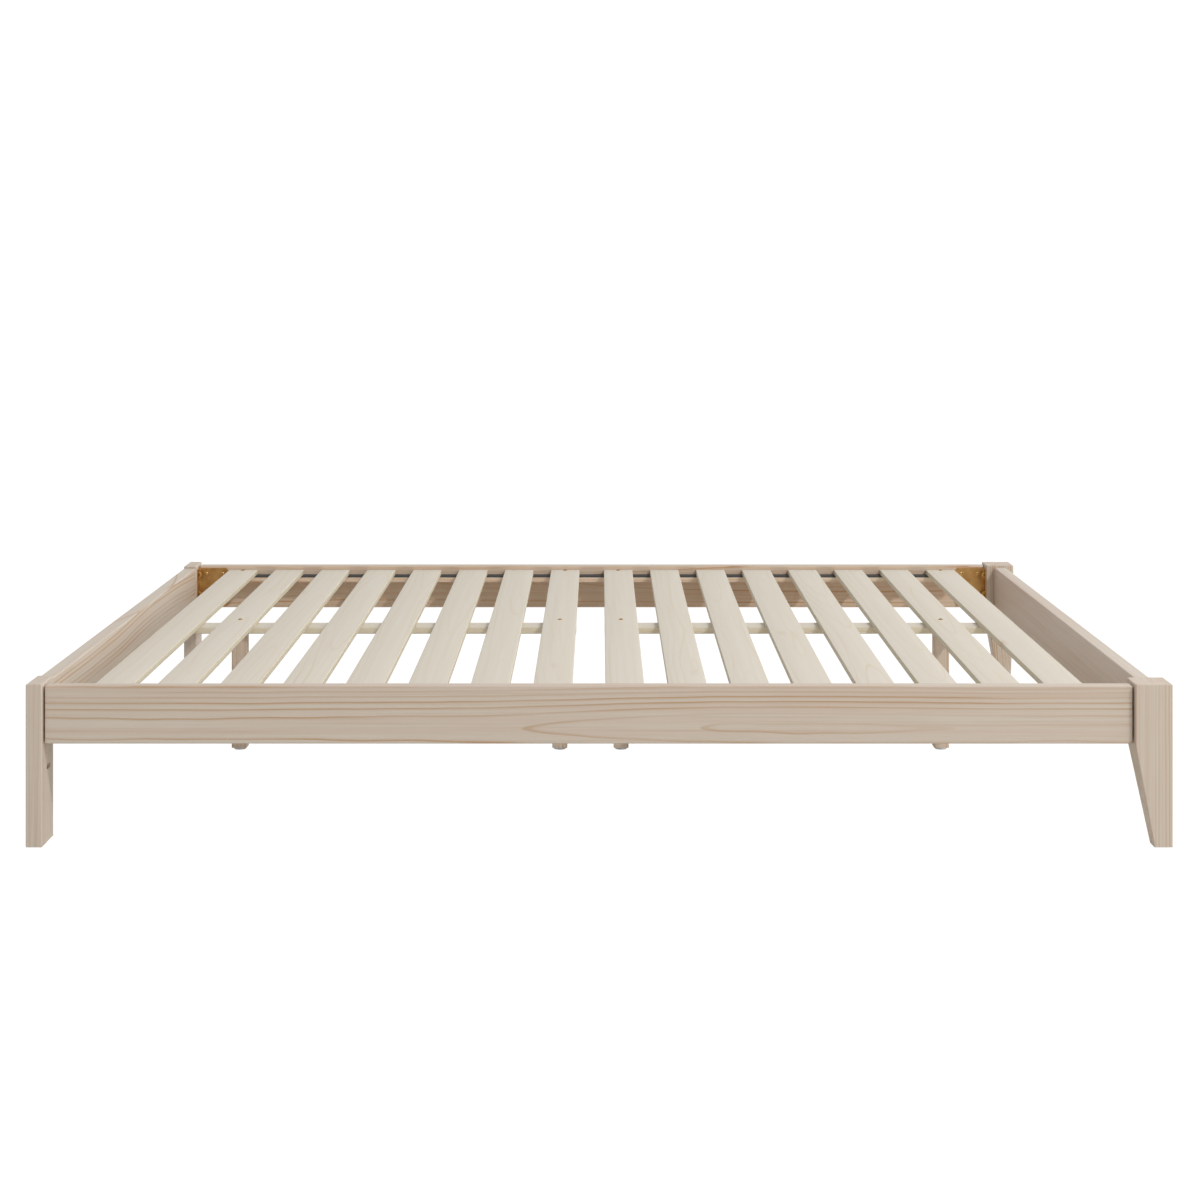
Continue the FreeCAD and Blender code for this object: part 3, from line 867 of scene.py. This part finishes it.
class GeometryGraph(Graph):
    """Short-hand for building a Geometry Nodes tree with named inputs."""

    def __init__(self, name: str) -> None:
        """Start a tree that takes and gives geometry.

        Args:
            name: The tree's name.
        """
        super().__init__(bpy.data.node_groups.new(name, "GeometryNodeTree"))
        for way in ("INPUT", "OUTPUT"):
            self.tree.interface.new_socket("Geometry", in_out=way, socket_type="NodeSocketGeometry")
        self.source = self.add("NodeGroupInput")
        self.target = self.add("NodeGroupOutput")

    def input(self, name: str, kind: str) -> NodeSocket:
        """Add a named input; its kind is Float, Int, Material or Object."""
        self.tree.interface.new_socket(name, in_out="INPUT", socket_type=f"NodeSocket{kind}")
        return self.source.outputs[name]

    def numbers(self, *names: str) -> list[NodeSocket]:
        """Add named inputs for numbers."""
        return [self.input(name, "Float") for name in names]

    def attribute(self, name: str, kind: str) -> NodeSocket:
        """Read a named attribute of Blender's given data type."""
        return self.out("GeometryNodeInputNamedAttribute", {"Name": name}, "Attribute", data_type=kind)

    def copies(self, points: NodeSocket, instance: NodeSocket, **more: Any) -> NodeSocket:
        """Put a copy on each point; further inputs of the node go by their names."""
        inputs = {"Points": points, "Instance": instance, **more}
        return self.out("GeometryNodeInstanceOnPoints", inputs)

    def real(self, geometry: NodeSocket) -> NodeSocket:
        """Make copies into real geometry."""
        return self.out("GeometryNodeRealizeInstances", {0: geometry})

    def end(self, geometry: NodeSocket, material: NodeSocket) -> None:
        """Realize the geometry, set its material and give it out."""
        inputs = {"Geometry": self.real(geometry), "Material": material}
        self.feed(self.target.inputs[0], self.out("GeometryNodeSetMaterial", inputs))

    def grow(self, name: str, points: Mesh, values: dict[str, Any]) -> Object:
        """Run the tree on points and keep the result as a plain mesh.

        Args:
            name: The new piece's name.
            points: The mesh that the tree starts from.
            values: The tree's inputs by name.

        Returns:
            The piece.
        """
        piece = link(name, points)
        modifier = piece.modifiers.new("tree", "NODES")
        modifier.node_group = self.tree
        for item in self.tree.interface.items_tree:
            if item.in_out == "INPUT" and item.name in values:
                modifier[item.identifier] = values[item.name]
        graph = bpy.context.evaluated_depsgraph_get()
        mesh = bpy.data.meshes.new_from_object(piece.evaluated_get(graph), depsgraph=graph)
        piece.modifiers.remove(modifier)
        piece.data = mesh
        mesh.name = name
        return piece


class FastenerTree(GeometryGraph):
    """Puts a copy of one fastener on each point, facing the point's way and turned at random."""

    FULL_TURN = (0.0, 0.0, 2 * math.pi)

    def __init__(self) -> None:
        """Build the tree."""
        super().__init__("fasteners_on_points")
        pattern = self.input("Fastener", "Object")
        seed = self.input("Seed", "Int")
        material = self.input("Material", "Material")
        solid = self.out("GeometryNodeObjectInfo", {"Object": pattern}, "Geometry")
        facing = self.attribute(FACING_ATTRIBUTE, "FLOAT_VECTOR")
        aligned = self.out("FunctionNodeAlignRotationToVector", {"Vector": facing}, axis="Z")
        turns = {"Min": (0.0, 0.0, 0.0), "Max": self.FULL_TURN, "Seed": seed}
        turn = self.out("FunctionNodeRandomValue", turns, data_type="FLOAT_VECTOR")
        spin = {"Rotation": aligned, "Rotate By": self.out("FunctionNodeEulerToRotation", {0: turn})}
        rotation = self.out("FunctionNodeRotateRotation", spin, rotation_space="LOCAL")
        self.end(self.copies(self.source.outputs[0], solid, Rotation=rotation), material)

    def place(
        self,
        node: str,
        kind: str,
        shape: Turned,
        fixings: Sequence[Fixing],
        finish: CoatFinish,
        seed: int,
        body: str = FRAME_BODY,
    ) -> None:
        """Put a new fastener at each fixing, in place of a node.

        Args:
            node: The node's name.
            kind: What the new piece's name adds to it.
            shape: The fastener, with the top of its head at the origin.
            fixings: Where the fasteners sit.
            finish: Their finish.
            seed: Seed of their random turns.
            body: The body that they ride on.
        """
        name = f"{node}_{kind}"
        points = bpy.data.meshes.new(f"{name}_points")
        points.from_pydata([fixing.top for fixing in fixings], [], [])
        facing = points.attributes.new(FACING_ATTRIBUTE, "FLOAT_VECTOR", "POINT")
        for item, fixing in zip(facing.data, fixings):
            item.vector = fixing.facing
        holder = link(f"{name}_pattern", shape.mesh(node))
        values = {"Fastener": holder, "Seed": seed, "Material": finish.material()}
        piece = self.grow(name, points, values)
        bpy.data.objects.remove(holder)
        settle(piece, body, finish.slot, node)


class SlatTree(GeometryGraph):
    """Lays eased slats in groups and sinks a hole at each of the starting points."""

    HOLE_SIDES = 32
    EDGE_STEPS = 4
    LENGTH_POINTS = 24
    # How the bow's noise goes: its step per metre from slat to slat, and its scale along a slat
    BOW_STEP = 9.0
    BOW_SCALE = 1.4

    def __init__(self) -> None:
        """Build the tree."""
        super().__init__("slats_in_groups")
        self.sizes = self.numbers("Width", "Thickness", "Length", "Edge Radius")
        pitch, *starts, height = self.numbers("Pitch", "First Middle", "Second Middle", "Middle Height")
        count = self.input("Slats Per Group", "Int")
        bow, hole, hole_depth = self.numbers("Bow", "Hole Radius", "Hole Depth")
        material = self.input("Material", "Material")
        offset = self.join(pitch, 0.0, 0.0)
        points = self.add("GeometryNodeJoinGeometry")
        for start in starts:
            line = {"Count": count, "Start Location": self.join(start, 0.0, height), "Offset": offset}
            self.feed(points.inputs[0], self.out("GeometryNodeMeshLine", line))
        copies = self.copies(points.outputs[0], self._slat())
        position = self.out("GeometryNodeInputPosition")
        along, across, _ = self.add("ShaderNodeSeparateXYZ", {0: position}).outputs
        slats = self.real(self._store(copies, "INSTANCE", along))
        board = self.attribute(BOARD_ATTRIBUTE, "FLOAT")
        slats = self._store(self._bowed(slats, across, board, bow), "FACE", board)
        cone = {"Vertices": self.HOLE_SIDES, "Radius Top": hole, "Radius Bottom": 0.0, "Depth": hole_depth}
        cutters = self.copies(self.source.outputs[0], self.out("GeometryNodeMeshCone", cone, "Mesh"))
        meshes = {"Mesh 1": slats, "Mesh 2": self.real(cutters)}
        sunk = self.out("GeometryNodeMeshBoolean", meshes, "Mesh", operation="DIFFERENCE", solver="EXACT")
        self.end(sunk, material)

    def _store(self, geometry: NodeSocket, domain: str, value: NodeSocket) -> NodeSocket:
        """Keep each board's middle on the geometry, as a named attribute."""
        inputs = {"Geometry": geometry, "Name": BOARD_ATTRIBUTE, "Value": value}
        return self.out("GeometryNodeStoreNamedAttribute", inputs, domain=domain, data_type="FLOAT")

    def _slat(self) -> NodeSocket:
        """One slat across the frame, with rounded long edges.

        Returns:
            The slat's mesh, about the origin.
        """
        width, thickness, length, edge = self.sizes
        outline = self.out("GeometryNodeCurvePrimitiveQuadrilateral", {"Width": width, "Height": thickness})
        corners = {"Curve": outline, "Radius": edge, "Count": self.EDGE_STEPS}
        eased = self.out("GeometryNodeFilletCurve", corners, mode="POLY")
        half = self.math("MULTIPLY", length, 0.5)
        start = self.join(0.0, self.math("MULTIPLY", half, -1.0), 0.0)
        ends = {"Start": start, "End": self.join(0.0, half, 0.0)}
        line = self.out("GeometryNodeCurvePrimitiveLine", ends)
        path = self.out("GeometryNodeResampleCurve", {"Curve": line, "Count": self.LENGTH_POINTS})
        upright = self.out("GeometryNodeSetCurveNormal", {"Curve": path}, mode="Z_UP")
        sweep = {"Curve": upright, "Profile Curve": eased, "Fill Caps": True}
        return self.out("GeometryNodeCurveToMesh", sweep)

    def _bowed(
        self, slats: NodeSocket, across: NodeSocket, board: NodeSocket, bow: NodeSocket
    ) -> NodeSocket:
        """Give each slat a slight bow of its own.

        Args:
            slats: The slats.
            across: The points' places along the slats.
            board: Each board's middle.
            bow: Most that a slat may sag or rise, times two.

        Returns:
            The bowed slats.
        """
        reading = self.join(self.math("MULTIPLY", board, self.BOW_STEP), across, 0.0)
        noise = self.out("ShaderNodeTexNoise", {"Vector": reading, "Scale": self.BOW_SCALE, "Detail": 0.0})
        rise = self.math("MULTIPLY", self.math("SUBTRACT", noise, 0.5), bow)
        return self.out("GeometryNodeSetPosition", {"Geometry": slats, "Offset": self.join(0.0, 0.0, rise)})


@dataclass
class Timber:
    """Legs, rails, ledges, beams and dowels, and how each was sawn."""

    rail_pitch: float = 7.4 * MM
    end_rail_pitch: float = 9.0 * MM
    leg_pitch: float = 5.5 * MM
    beam_pitch: float = 8.0 * MM
    dowel_pitch: float = 1.6 * MM
    support_legs: int = 4
    support_seed: float = 20.0
    beam_seed: int = 60
    dowel_seed: float = 70.0

    def cuts(self) -> dict[str, Cut]:
        """How each driftwood board was sawn.

        Returns:
            The cuts by node name.
        """
        along, across, upright = Grain.ALONG, Grain.ACROSS, Grain.UPRIGHT
        rail, end_rail, leg = self.rail_pitch, self.end_rail_pitch, self.leg_pitch
        front = (
            (-1.03, 0.0410, -0.0257),
            (-0.50, 0.0405, -0.0257),
            (-0.20, 0.0395, -0.0250),
            (0.00, 0.0350, -0.0235),
            (0.25, 0.0265, -0.0230),
            (0.60, 0.0300, -0.0250),
            (1.03, 0.0305, -0.0257),
        )
        ledge = core(1.0, (0.020, 0.050), (0.020, 0.040))
        cuts = {
            "front_side_rail": Cut(along, front, 22.25, rail, wander=0.002, strength=0.85),
            "back_side_rail": Cut(along, core(1.0, (0.050, 0.010), (0.034, 0.026)), 11.9, rail),
            "head_rail": Cut(
                across, core(0.8, (-0.03, -0.14), (-0.04, -0.12)), 2.2, end_rail, wander=0.05, strength=0.8
            ),
            "foot_rail": Cut(across, core(0.8, (0.12, 0.0), (0.13, 0.0)), 7.4, end_rail, strength=0.3),
            "head_leg_front": Cut(upright, core(0.2, (-0.05, 0.03), (-0.04, 0.03)), 1.4, leg, strength=0.3),
            "head_leg_back": Cut(upright, core(0.2, (-0.06, -0.02), (-0.05, -0.02)), 3.1, leg, strength=0.3),
            "foot_leg_front": Cut(upright, core(0.2, (0.09, 0.01), (0.085, 0.01)), 5.2, leg, strength=0.5),
            "foot_leg_back": Cut(upright, core(0.2, (0.060, -0.050), (0.050, -0.050)), 8.8, leg),
            "front_ledge": Cut(along, ledge, 13.0, rail),
            "back_ledge": Cut(along, ledge, 16.0, rail),
        }
        # Each support leg was sawn a little further to one side of its log
        for number in range(1, self.support_legs + 1):
            side, depth = 0.03 + 0.01 * number, 0.05 - 0.012 * number
            path = core(0.15, (side, depth), (side, depth + 0.01))
            cuts[f"support_leg_{number}"] = Cut(upright, path, self.support_seed + number, leg)
        return cuts

    @staticmethod
    def finish_of(node: str) -> WoodFinish:
        """The driftwood finish that a board has; the paler, warmer, cream and pink ones carry painted light.

        Args:
            node: The board's name.

        Returns:
            The finish.
        """
        # Painted light: the support legs, back rail, ledges and foot rail wear lit copies of driftwood
        if node.startswith("support_leg"):
            return PALE_LIT_DRIFTWOOD
        painted_light_finishes = {
            "back_side_rail": WARM_LIT_DRIFTWOOD,
            "back_ledge": CREAM_LIT_DRIFTWOOD,
            "front_ledge": CREAM_LIT_DRIFTWOOD,
            "foot_rail": PINK_LIT_DRIFTWOOD,
        }
        return painted_light_finishes.get(node, DRIFTWOOD)

    def build(self) -> None:
        """Dress every board."""
        for node, cut in self.cuts().items():
            dress(node, self.finish_of(node).material(node, middle_of(node), cut))
        path = core(0.5, (0.030, 0.050), (0.040, 0.050))
        for seed, end in enumerate(("head", "foot"), start=self.beam_seed):
            node = f"centre_beam_{end}"
            cut = Cut(Grain.ALONG, path, float(seed), self.beam_pitch)
            dress(node, SIDE_LIT_BEAM_PINE.material(node, middle_of(node), cut))
        path = core(1.0, (0.002, 0.001), (0.002, 0.001))
        cut = Cut(Grain.ACROSS, path, self.dowel_seed, self.dowel_pitch, wander=0.001)
        dress("end_rail_dowels", BEECH.material("dowels", middle_of("end_rail_dowels"), cut))


def dome(head: float, height: float, rim: float) -> list[TurnedRow]:
    """Rows of a low domed head, from its rim up to z = 0.

    Args:
        head: Radius of the head.
        height: Height of the head.
        rim: Height of the straight rim below the dome.

    Returns:
        The rows.
    """
    steps = 6
    turns = [math.pi / 2 * step / steps for step in range(steps)]
    arc = [(head * math.cos(turn), (height - rim) * (math.sin(turn) - 1)) for turn in turns]
    return rounds((head, -height), *arc)


@dataclass(frozen=True)
class Screw:
    """Wood screw with a cross recess in its domed head.

    A screw with a smooth share has a cone-shaped neck, and is let in up to its rim. Point, waist and thread
    are shares of the shank's radius, the recess has shares of the head's, and the rim one of its height.
    """

    shank: float
    head_height: float
    rim_share: float = 0.0
    smooth_share: float = 0.0
    pitch: float = 2.2 * MM
    sides: int = 24
    point_share: float = 0.15
    waist_share: float = 0.88
    thread_share: float = 0.28
    recess_arm: float = 0.42
    recess_floor: float = 0.22
    recess_depth: float = 0.35
    recess_limit: float = 0.75

    def shape(self, fixing: Fixing) -> Turned:
        """Shape the screw.

        Args:
            fixing: Gives its length and the width of its head.

        Returns:
            The screw, with the top of its head at z = 0.
        """
        head, shank, tip = fixing.head / 2, self.shank / 2, self.pitch - fixing.length
        thread_end = -self.head_height
        neck_rows = []
        if self.smooth_share:
            neck, waist = shank - head - self.head_height, self.waist_share * shank
            thread_end = neck + self.smooth_share * (tip - neck)
            neck_rows = rounds((waist, thread_end), (waist, neck))
        depth = min(self.head_height + self.recess_depth * head, self.recess_limit * head)
        rows = [
            *rounds((self.point_share * shank, -fixing.length), (shank, tip), (shank, thread_end)),
            *neck_rows,
            *dome(head, self.head_height, self.rim_share * self.head_height),
            (self.recess_arm * head, 0.0, Section.CROSS),
            (self.recess_floor * head, -depth, Section.CROSS),
        ]
        return Turned(self.sides, rows, Thread(tip, thread_end, self.pitch, self.thread_share * shank))


@dataclass
class SlatDeck:
    """The slats, with their raised-head screws."""

    groups: int = 2
    slats_per_group: int = 8
    edge_radius: float = 1.6 * MM
    bow: float = 0.3 * MM
    hole_clearance: float = 0.15 * MM
    hole_share: float = 0.6
    cut: Cut = Cut(
        Grain.ACROSS, core(0.8, (0.012, -0.050), (0.012, -0.040)), 30.0, ring_pitch=8.0 * MM, wander=0.036
    )
    end_screw: Screw = Screw(shank=4.0 * MM, head_height=2.0 * MM, smooth_share=0.35)
    leg_screw: Screw = Screw(shank=6.0 * MM, head_height=2.0 * MM, smooth_share=0.35)

    def build(self, tree: FastenerTree) -> None:
        """Make the slats and the screws through them.

        Args:
            tree: Places the screws.
        """
        screws = {"slat_end_screws": self.end_screw, "support_leg_screws": self.leg_screw}
        fixings = {node: fixings_of(node) for node in screws}
        self._slats([fixing for group in fixings.values() for fixing in group])
        for seed, (node, screw) in enumerate(screws.items()):
            tree.place(node, "raised", screw.shape(fixings[node][0]), fixings[node], SHADED_ZINC, seed)

    def _slats(self, fixings: Sequence[Fixing]) -> None:
        """Make all the slats as one piece, with a hole for each screw head.

        Args:
            fixings: Where the screws sit.
        """
        names = [f"slat_{number:02d}" for number in range(1, self.groups * self.slats_per_group + 1)]
        low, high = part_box(names[0])
        firsts = [middle_of(names[group * self.slats_per_group]) for group in range(self.groups)]
        hole = max(fixing.head for fixing in fixings) / 2 + self.hole_clearance
        hole_depth = 2 * hole * self.hole_share
        points = bpy.data.meshes.new("slat_holes")
        cone_bottom = high.z - hole * self.hole_share
        points.from_pydata([(fixing.top.x, fixing.top.y, cone_bottom) for fixing in fixings], [], [])
        middle = Vector((0.0, firsts[0].y, firsts[0].z))
        values = {
            "Width": high.x - low.x,
            "Thickness": high.z - low.z,
            "Length": high.y - low.y,
            "Edge Radius": self.edge_radius,
            "Pitch": middle_of(names[1]).x - firsts[0].x,
            "First Middle": firsts[0].x,
            "Second Middle": firsts[1].x,
            "Middle Height": firsts[0].z,
            "Slats Per Group": self.slats_per_group,
            "Bow": self.bow,
            "Hole Radius": 2 * hole,
            "Hole Depth": hole_depth,
            "Material": BARE_PINE.material("slats", middle, self.cut, numbered=True),
        }
        deck = SlatTree().grow("slat_deck", points, values)
        settle(deck, FRAME_BODY, BARE_PINE.slot, *names)


@dataclass
class CornerBrackets:
    """The folded brackets with their screws, bolts and washers."""

    screw: Screw = Screw(shank=4.5 * MM, head_height=1.8 * MM, rim_share=0.3)
    bolt_shank: float = 8.0 * MM
    bolt_head_height: float = 3.5 * MM
    bolt_rim_share: float = 0.2
    bolt_pitch: float = 1.25 * MM
    bolt_thread_depth: float = 0.6 * MM
    bolt_key: float = 5.0 * MM
    bolt_key_depth: float = 2.6 * MM
    washer_bore: float = 8.4 * MM
    washer_edge: float = 0.25 * MM
    sides: int = 24
    first_seed: int = 10

    def build(self, tree: FastenerTree) -> None:
        """Dress the brackets and make their fasteners.

        Args:
            tree: Places the fasteners.
        """
        for end in ("head", "foot"):
            for side in ("front", "back"):
                dress(f"corner_bracket_{end}_{side}", YELLOW_ZINC.material())
        dress("leg_inserts", BRIGHT_ZINC.material())
        makers = {
            "bracket_screws": self.screw.shape,
            "bracket_bolts": self._bolt,
            "bolt_washers": self._washer,
        }
        for seed, (node, make) in enumerate(makers.items(), start=self.first_seed):
            fixings = fixings_of(node)
            tree.place(node, "detailed", make(fixings[0]), fixings, HIGHLIGHT_ZINC, seed)

    def _bolt(self, fixing: Fixing) -> Turned:
        """Shape a button-head bolt with a hex socket.

        Args:
            fixing: Gives its length and the width of its head.

        Returns:
            The bolt.
        """
        shank, seat, chamfer = self.bolt_shank / 2, -self.bolt_head_height, self.bolt_pitch
        tip, key = chamfer - fixing.length, self.bolt_key / 2
        rows = [
            *rounds((shank - chamfer, -fixing.length), (shank, tip), (shank, seat)),
            *dome(fixing.head / 2, self.bolt_head_height, self.bolt_rim_share * self.bolt_head_height),
            (key, 0.0, Section.HEX),
            (key, -self.bolt_key_depth, Section.HEX),
        ]
        return Turned(self.sides, rows, Thread(tip, seat, self.bolt_pitch, self.bolt_thread_depth))

    def _washer(self, fixing: Fixing) -> Turned:
        """Shape a plain washer with its rim eased.

        Args:
            fixing: Gives its thickness and its width.

        Returns:
            The washer.
        """
        outer, inner, edge = fixing.head / 2, self.washer_bore / 2, self.washer_edge
        rows = rounds(
            (outer - edge, -fixing.length),
            (outer, edge - fixing.length),
            (outer, -edge),
            (outer - edge, 0.0),
            (inner, 0.0),
            (inner, -fixing.length),
        )
        return Turned(2 * self.sides, rows, ring=True)


@dataclass
class LevellingGlides:
    """The round feet of the support legs, on threaded studs."""

    count: int = 4
    sides: int = 48
    stud_sides: int = 24
    stud_pitch: float = 1.25 * MM
    thread_depth: float = 0.6 * MM
    edge: float = 1.4 * MM
    edge_steps: int = 4
    dish: float = 0.6 * MM
    dish_share: float = 0.55
    rim_share: float = 0.72
    seat_gap: float = 0.1 * MM

    def build(self, tree: FastenerTree) -> None:
        """Make each glide and its stud.

        Args:
            tree: Places them on their bodies.
        """
        dress("glide_inserts", BRIGHT_ZINC.material())
        for number in range(1, self.count + 1):
            foot, stud = f"levelling_glide_{number}", f"glide_stud_{number}"
            pieces = ((foot, self._foot(foot, stud), GREY_PLASTIC), (stud, self._stud(stud), BRIGHT_ZINC))
            for node, shape, finish in pieces:
                top = middle_of(node)
                top.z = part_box(node)[1].z
                fixing = Fixing(top, Vector((0, 0, 1)))
                tree.place(node, "turned", shape, [fixing], finish, number, f"glide_{number}")

    def _foot(self, node: str, stud: str) -> Turned:
        """Shape a round foot with a dished underside and a seat for its stud.

        Args:
            node: The model's glide.
            stud: The model's stud.

        Returns:
            The foot, with its top at z = 0.
        """
        low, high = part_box(node)
        stud_low, stud_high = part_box(stud)
        radius, height, edge = (high.x - low.x) / 2, high.z - low.z, self.edge
        inner = radius - edge
        seat = (stud_high.x - stud_low.x) / 2 + self.seat_gap
        arc = [math.pi / 2 * step / self.edge_steps for step in range(self.edge_steps + 1)]
        rows = rounds(
            (self.dish_share * radius, self.dish - height),
            (self.rim_share * radius, -height),
            *((inner + edge * math.sin(turn), edge - height - edge * math.cos(turn)) for turn in arc),
            *((inner + edge * math.cos(turn), edge * math.sin(turn) - edge) for turn in arc),
            (seat, 0.0),
            (seat, stud_low.z - high.z),
        )
        return Turned(self.sides, rows)

    def _stud(self, node: str) -> Turned:
        """Shape a threaded stud with its upper end chamfered.

        Args:
            node: The model's stud.

        Returns:
            The stud, with its top at z = 0.
        """
        low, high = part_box(node)
        radius, length, pitch = (high.x - low.x) / 2, high.z - low.z, self.stud_pitch
        rows = rounds((radius, -length), (radius, -pitch), (radius - pitch, 0.0))
        return Turned(self.stud_sides, rows, Thread(-length, -pitch, pitch, self.thread_depth))


@dataclass
class Studio:
    """Pale floor, soft light and the camera of the photograph.

    The picture's own sizes are in pixels, the rest in metres.
    """

    image_side: float = 1200.0
    lens_pixels: float = 2185.5
    vanishing_pixel: Pair = (599.66, 256.9)
    eye: Place = (0.0009, -4.8505, 1.091)
    sensor_mm: float = 36.0
    floor_half: float = 40.0
    floor_gap: float = 12.5 * MM
    floor_tone: Colour = (0.783, 0.766, 0.731)
    floor_white: Colour = (0.95, 0.95, 0.95)
    floor_glow: float = 1.06
    glow_share: float = 0.96
    sky_sides: tuple[tuple[Place, float], ...] = (
        ((1.0, 0.0, 0.0), 1.44),
        ((-1.0, 0.0, 0.0), 0.46),
        ((0.0, -1.0, 0.0), 0.37),
        ((0.0, 1.0, 0.0), 0.75),
        ((0.0, 0.0, 1.0), 0.24),
    )
    key_place: Place = (4.1, -3.7, 5.6)
    key_side: float = 0.3
    key_watts: float = 225.0

    def build(self) -> None:
        """Make the floor, the light and the camera."""
        self._floor()
        self._sky()
        self._key()
        self._camera()
        view = bpy.context.scene.view_settings
        view.view_transform = "Standard"
        view.look = "None"

    def _floor(self) -> None:
        """A plain floor that shows as white paper and sends back a softer light."""
        mesh = bpy.data.meshes.new("floor")
        half = self.floor_half
        corners = [(-half, -half), (half, -half), (half, half), (-half, half)]
        mesh.from_pydata([(x, y, -self.floor_gap) for x, y in corners], [], [(0, 1, 2, 3)])
        floor = link("floor", mesh)
        graph = ShaderGraph("paper_floor")
        matt, white = (
            graph.out("ShaderNodeBsdfDiffuse", {"Color": (*tone, 1.0)})
            for tone in (self.floor_tone, self.floor_white)
        )
        glow = graph.out("ShaderNodeEmission", {"Strength": self.floor_glow})
        paper = graph.out("ShaderNodeMixShader", {0: self.glow_share, 1: white, 2: glow})
        seen = graph.out("ShaderNodeLightPath", output="Is Camera Ray")
        both = graph.out("ShaderNodeMixShader", {0: seen, 1: matt, 2: paper})
        graph.feed(graph.tree.nodes["Material Output"].inputs["Surface"], both)
        mesh.materials.append(graph.material)

    def _sky(self) -> None:
        """A sky with a wide soft light on each side, which shows as white."""
        world = bpy.data.worlds.new("studio_sky")
        world.use_nodes = True
        bpy.context.scene.world = world
        graph = Graph(world.node_tree)
        direction = graph.out("ShaderNodeTexCoord", output="Generated")
        strength = graph.out("ShaderNodeLightPath", output="Is Camera Ray")
        for side, level in self.sky_sides:
            toward = graph.vector("DOT_PRODUCT", direction, side)
            strength = graph.math("MULTIPLY_ADD", graph.math("MAXIMUM", toward, 0.0), level, strength)
        back = world.node_tree.nodes["Background"]
        graph.feed(back.inputs["Color"], (*WHITE, 1.0))
        graph.feed(back.inputs["Strength"], strength)

    def _key(self) -> None:
        """The main lamp, to the right of the camera and above it."""
        light = bpy.data.lights.new("key", "AREA")
        light.energy = self.key_watts
        light.size = self.key_side
        key = link("key", light)
        key.location = self.key_place
        key.rotation_euler = (-Vector(self.key_place)).to_track_quat("-Z", "Y").to_euler()

    def _camera(self) -> None:
        """A level camera whose lens is shifted down to the bed."""
        lens = bpy.data.cameras.new("camera")
        lens.sensor_width = self.sensor_mm
        lens.lens = self.lens_pixels / self.image_side * self.sensor_mm
        middle = self.image_side / 2
        lens.shift_x = (middle - self.vanishing_pixel[0]) / self.image_side
        lens.shift_y = (self.vanishing_pixel[1] - middle) / self.image_side
        camera = link("camera", lens)
        camera.location = self.eye
        camera.rotation_euler = (math.pi / 2, 0.0, 0.0)
        bpy.context.scene.camera = camera


def main() -> None:
    """Dress the bed frame and set up the studio."""
    logging.basicConfig(level=logging.INFO)
    tree = FastenerTree()
    Timber().build()
    SlatDeck().build(tree)
    CornerBrackets().build(tree)
    LevellingGlides().build(tree)
    for side in ("front", "back"):
        dress(f"{side}_ledge_strip", GREY_RUBBER.material())
    Studio().build()


if __name__ == "__main__":
    main()
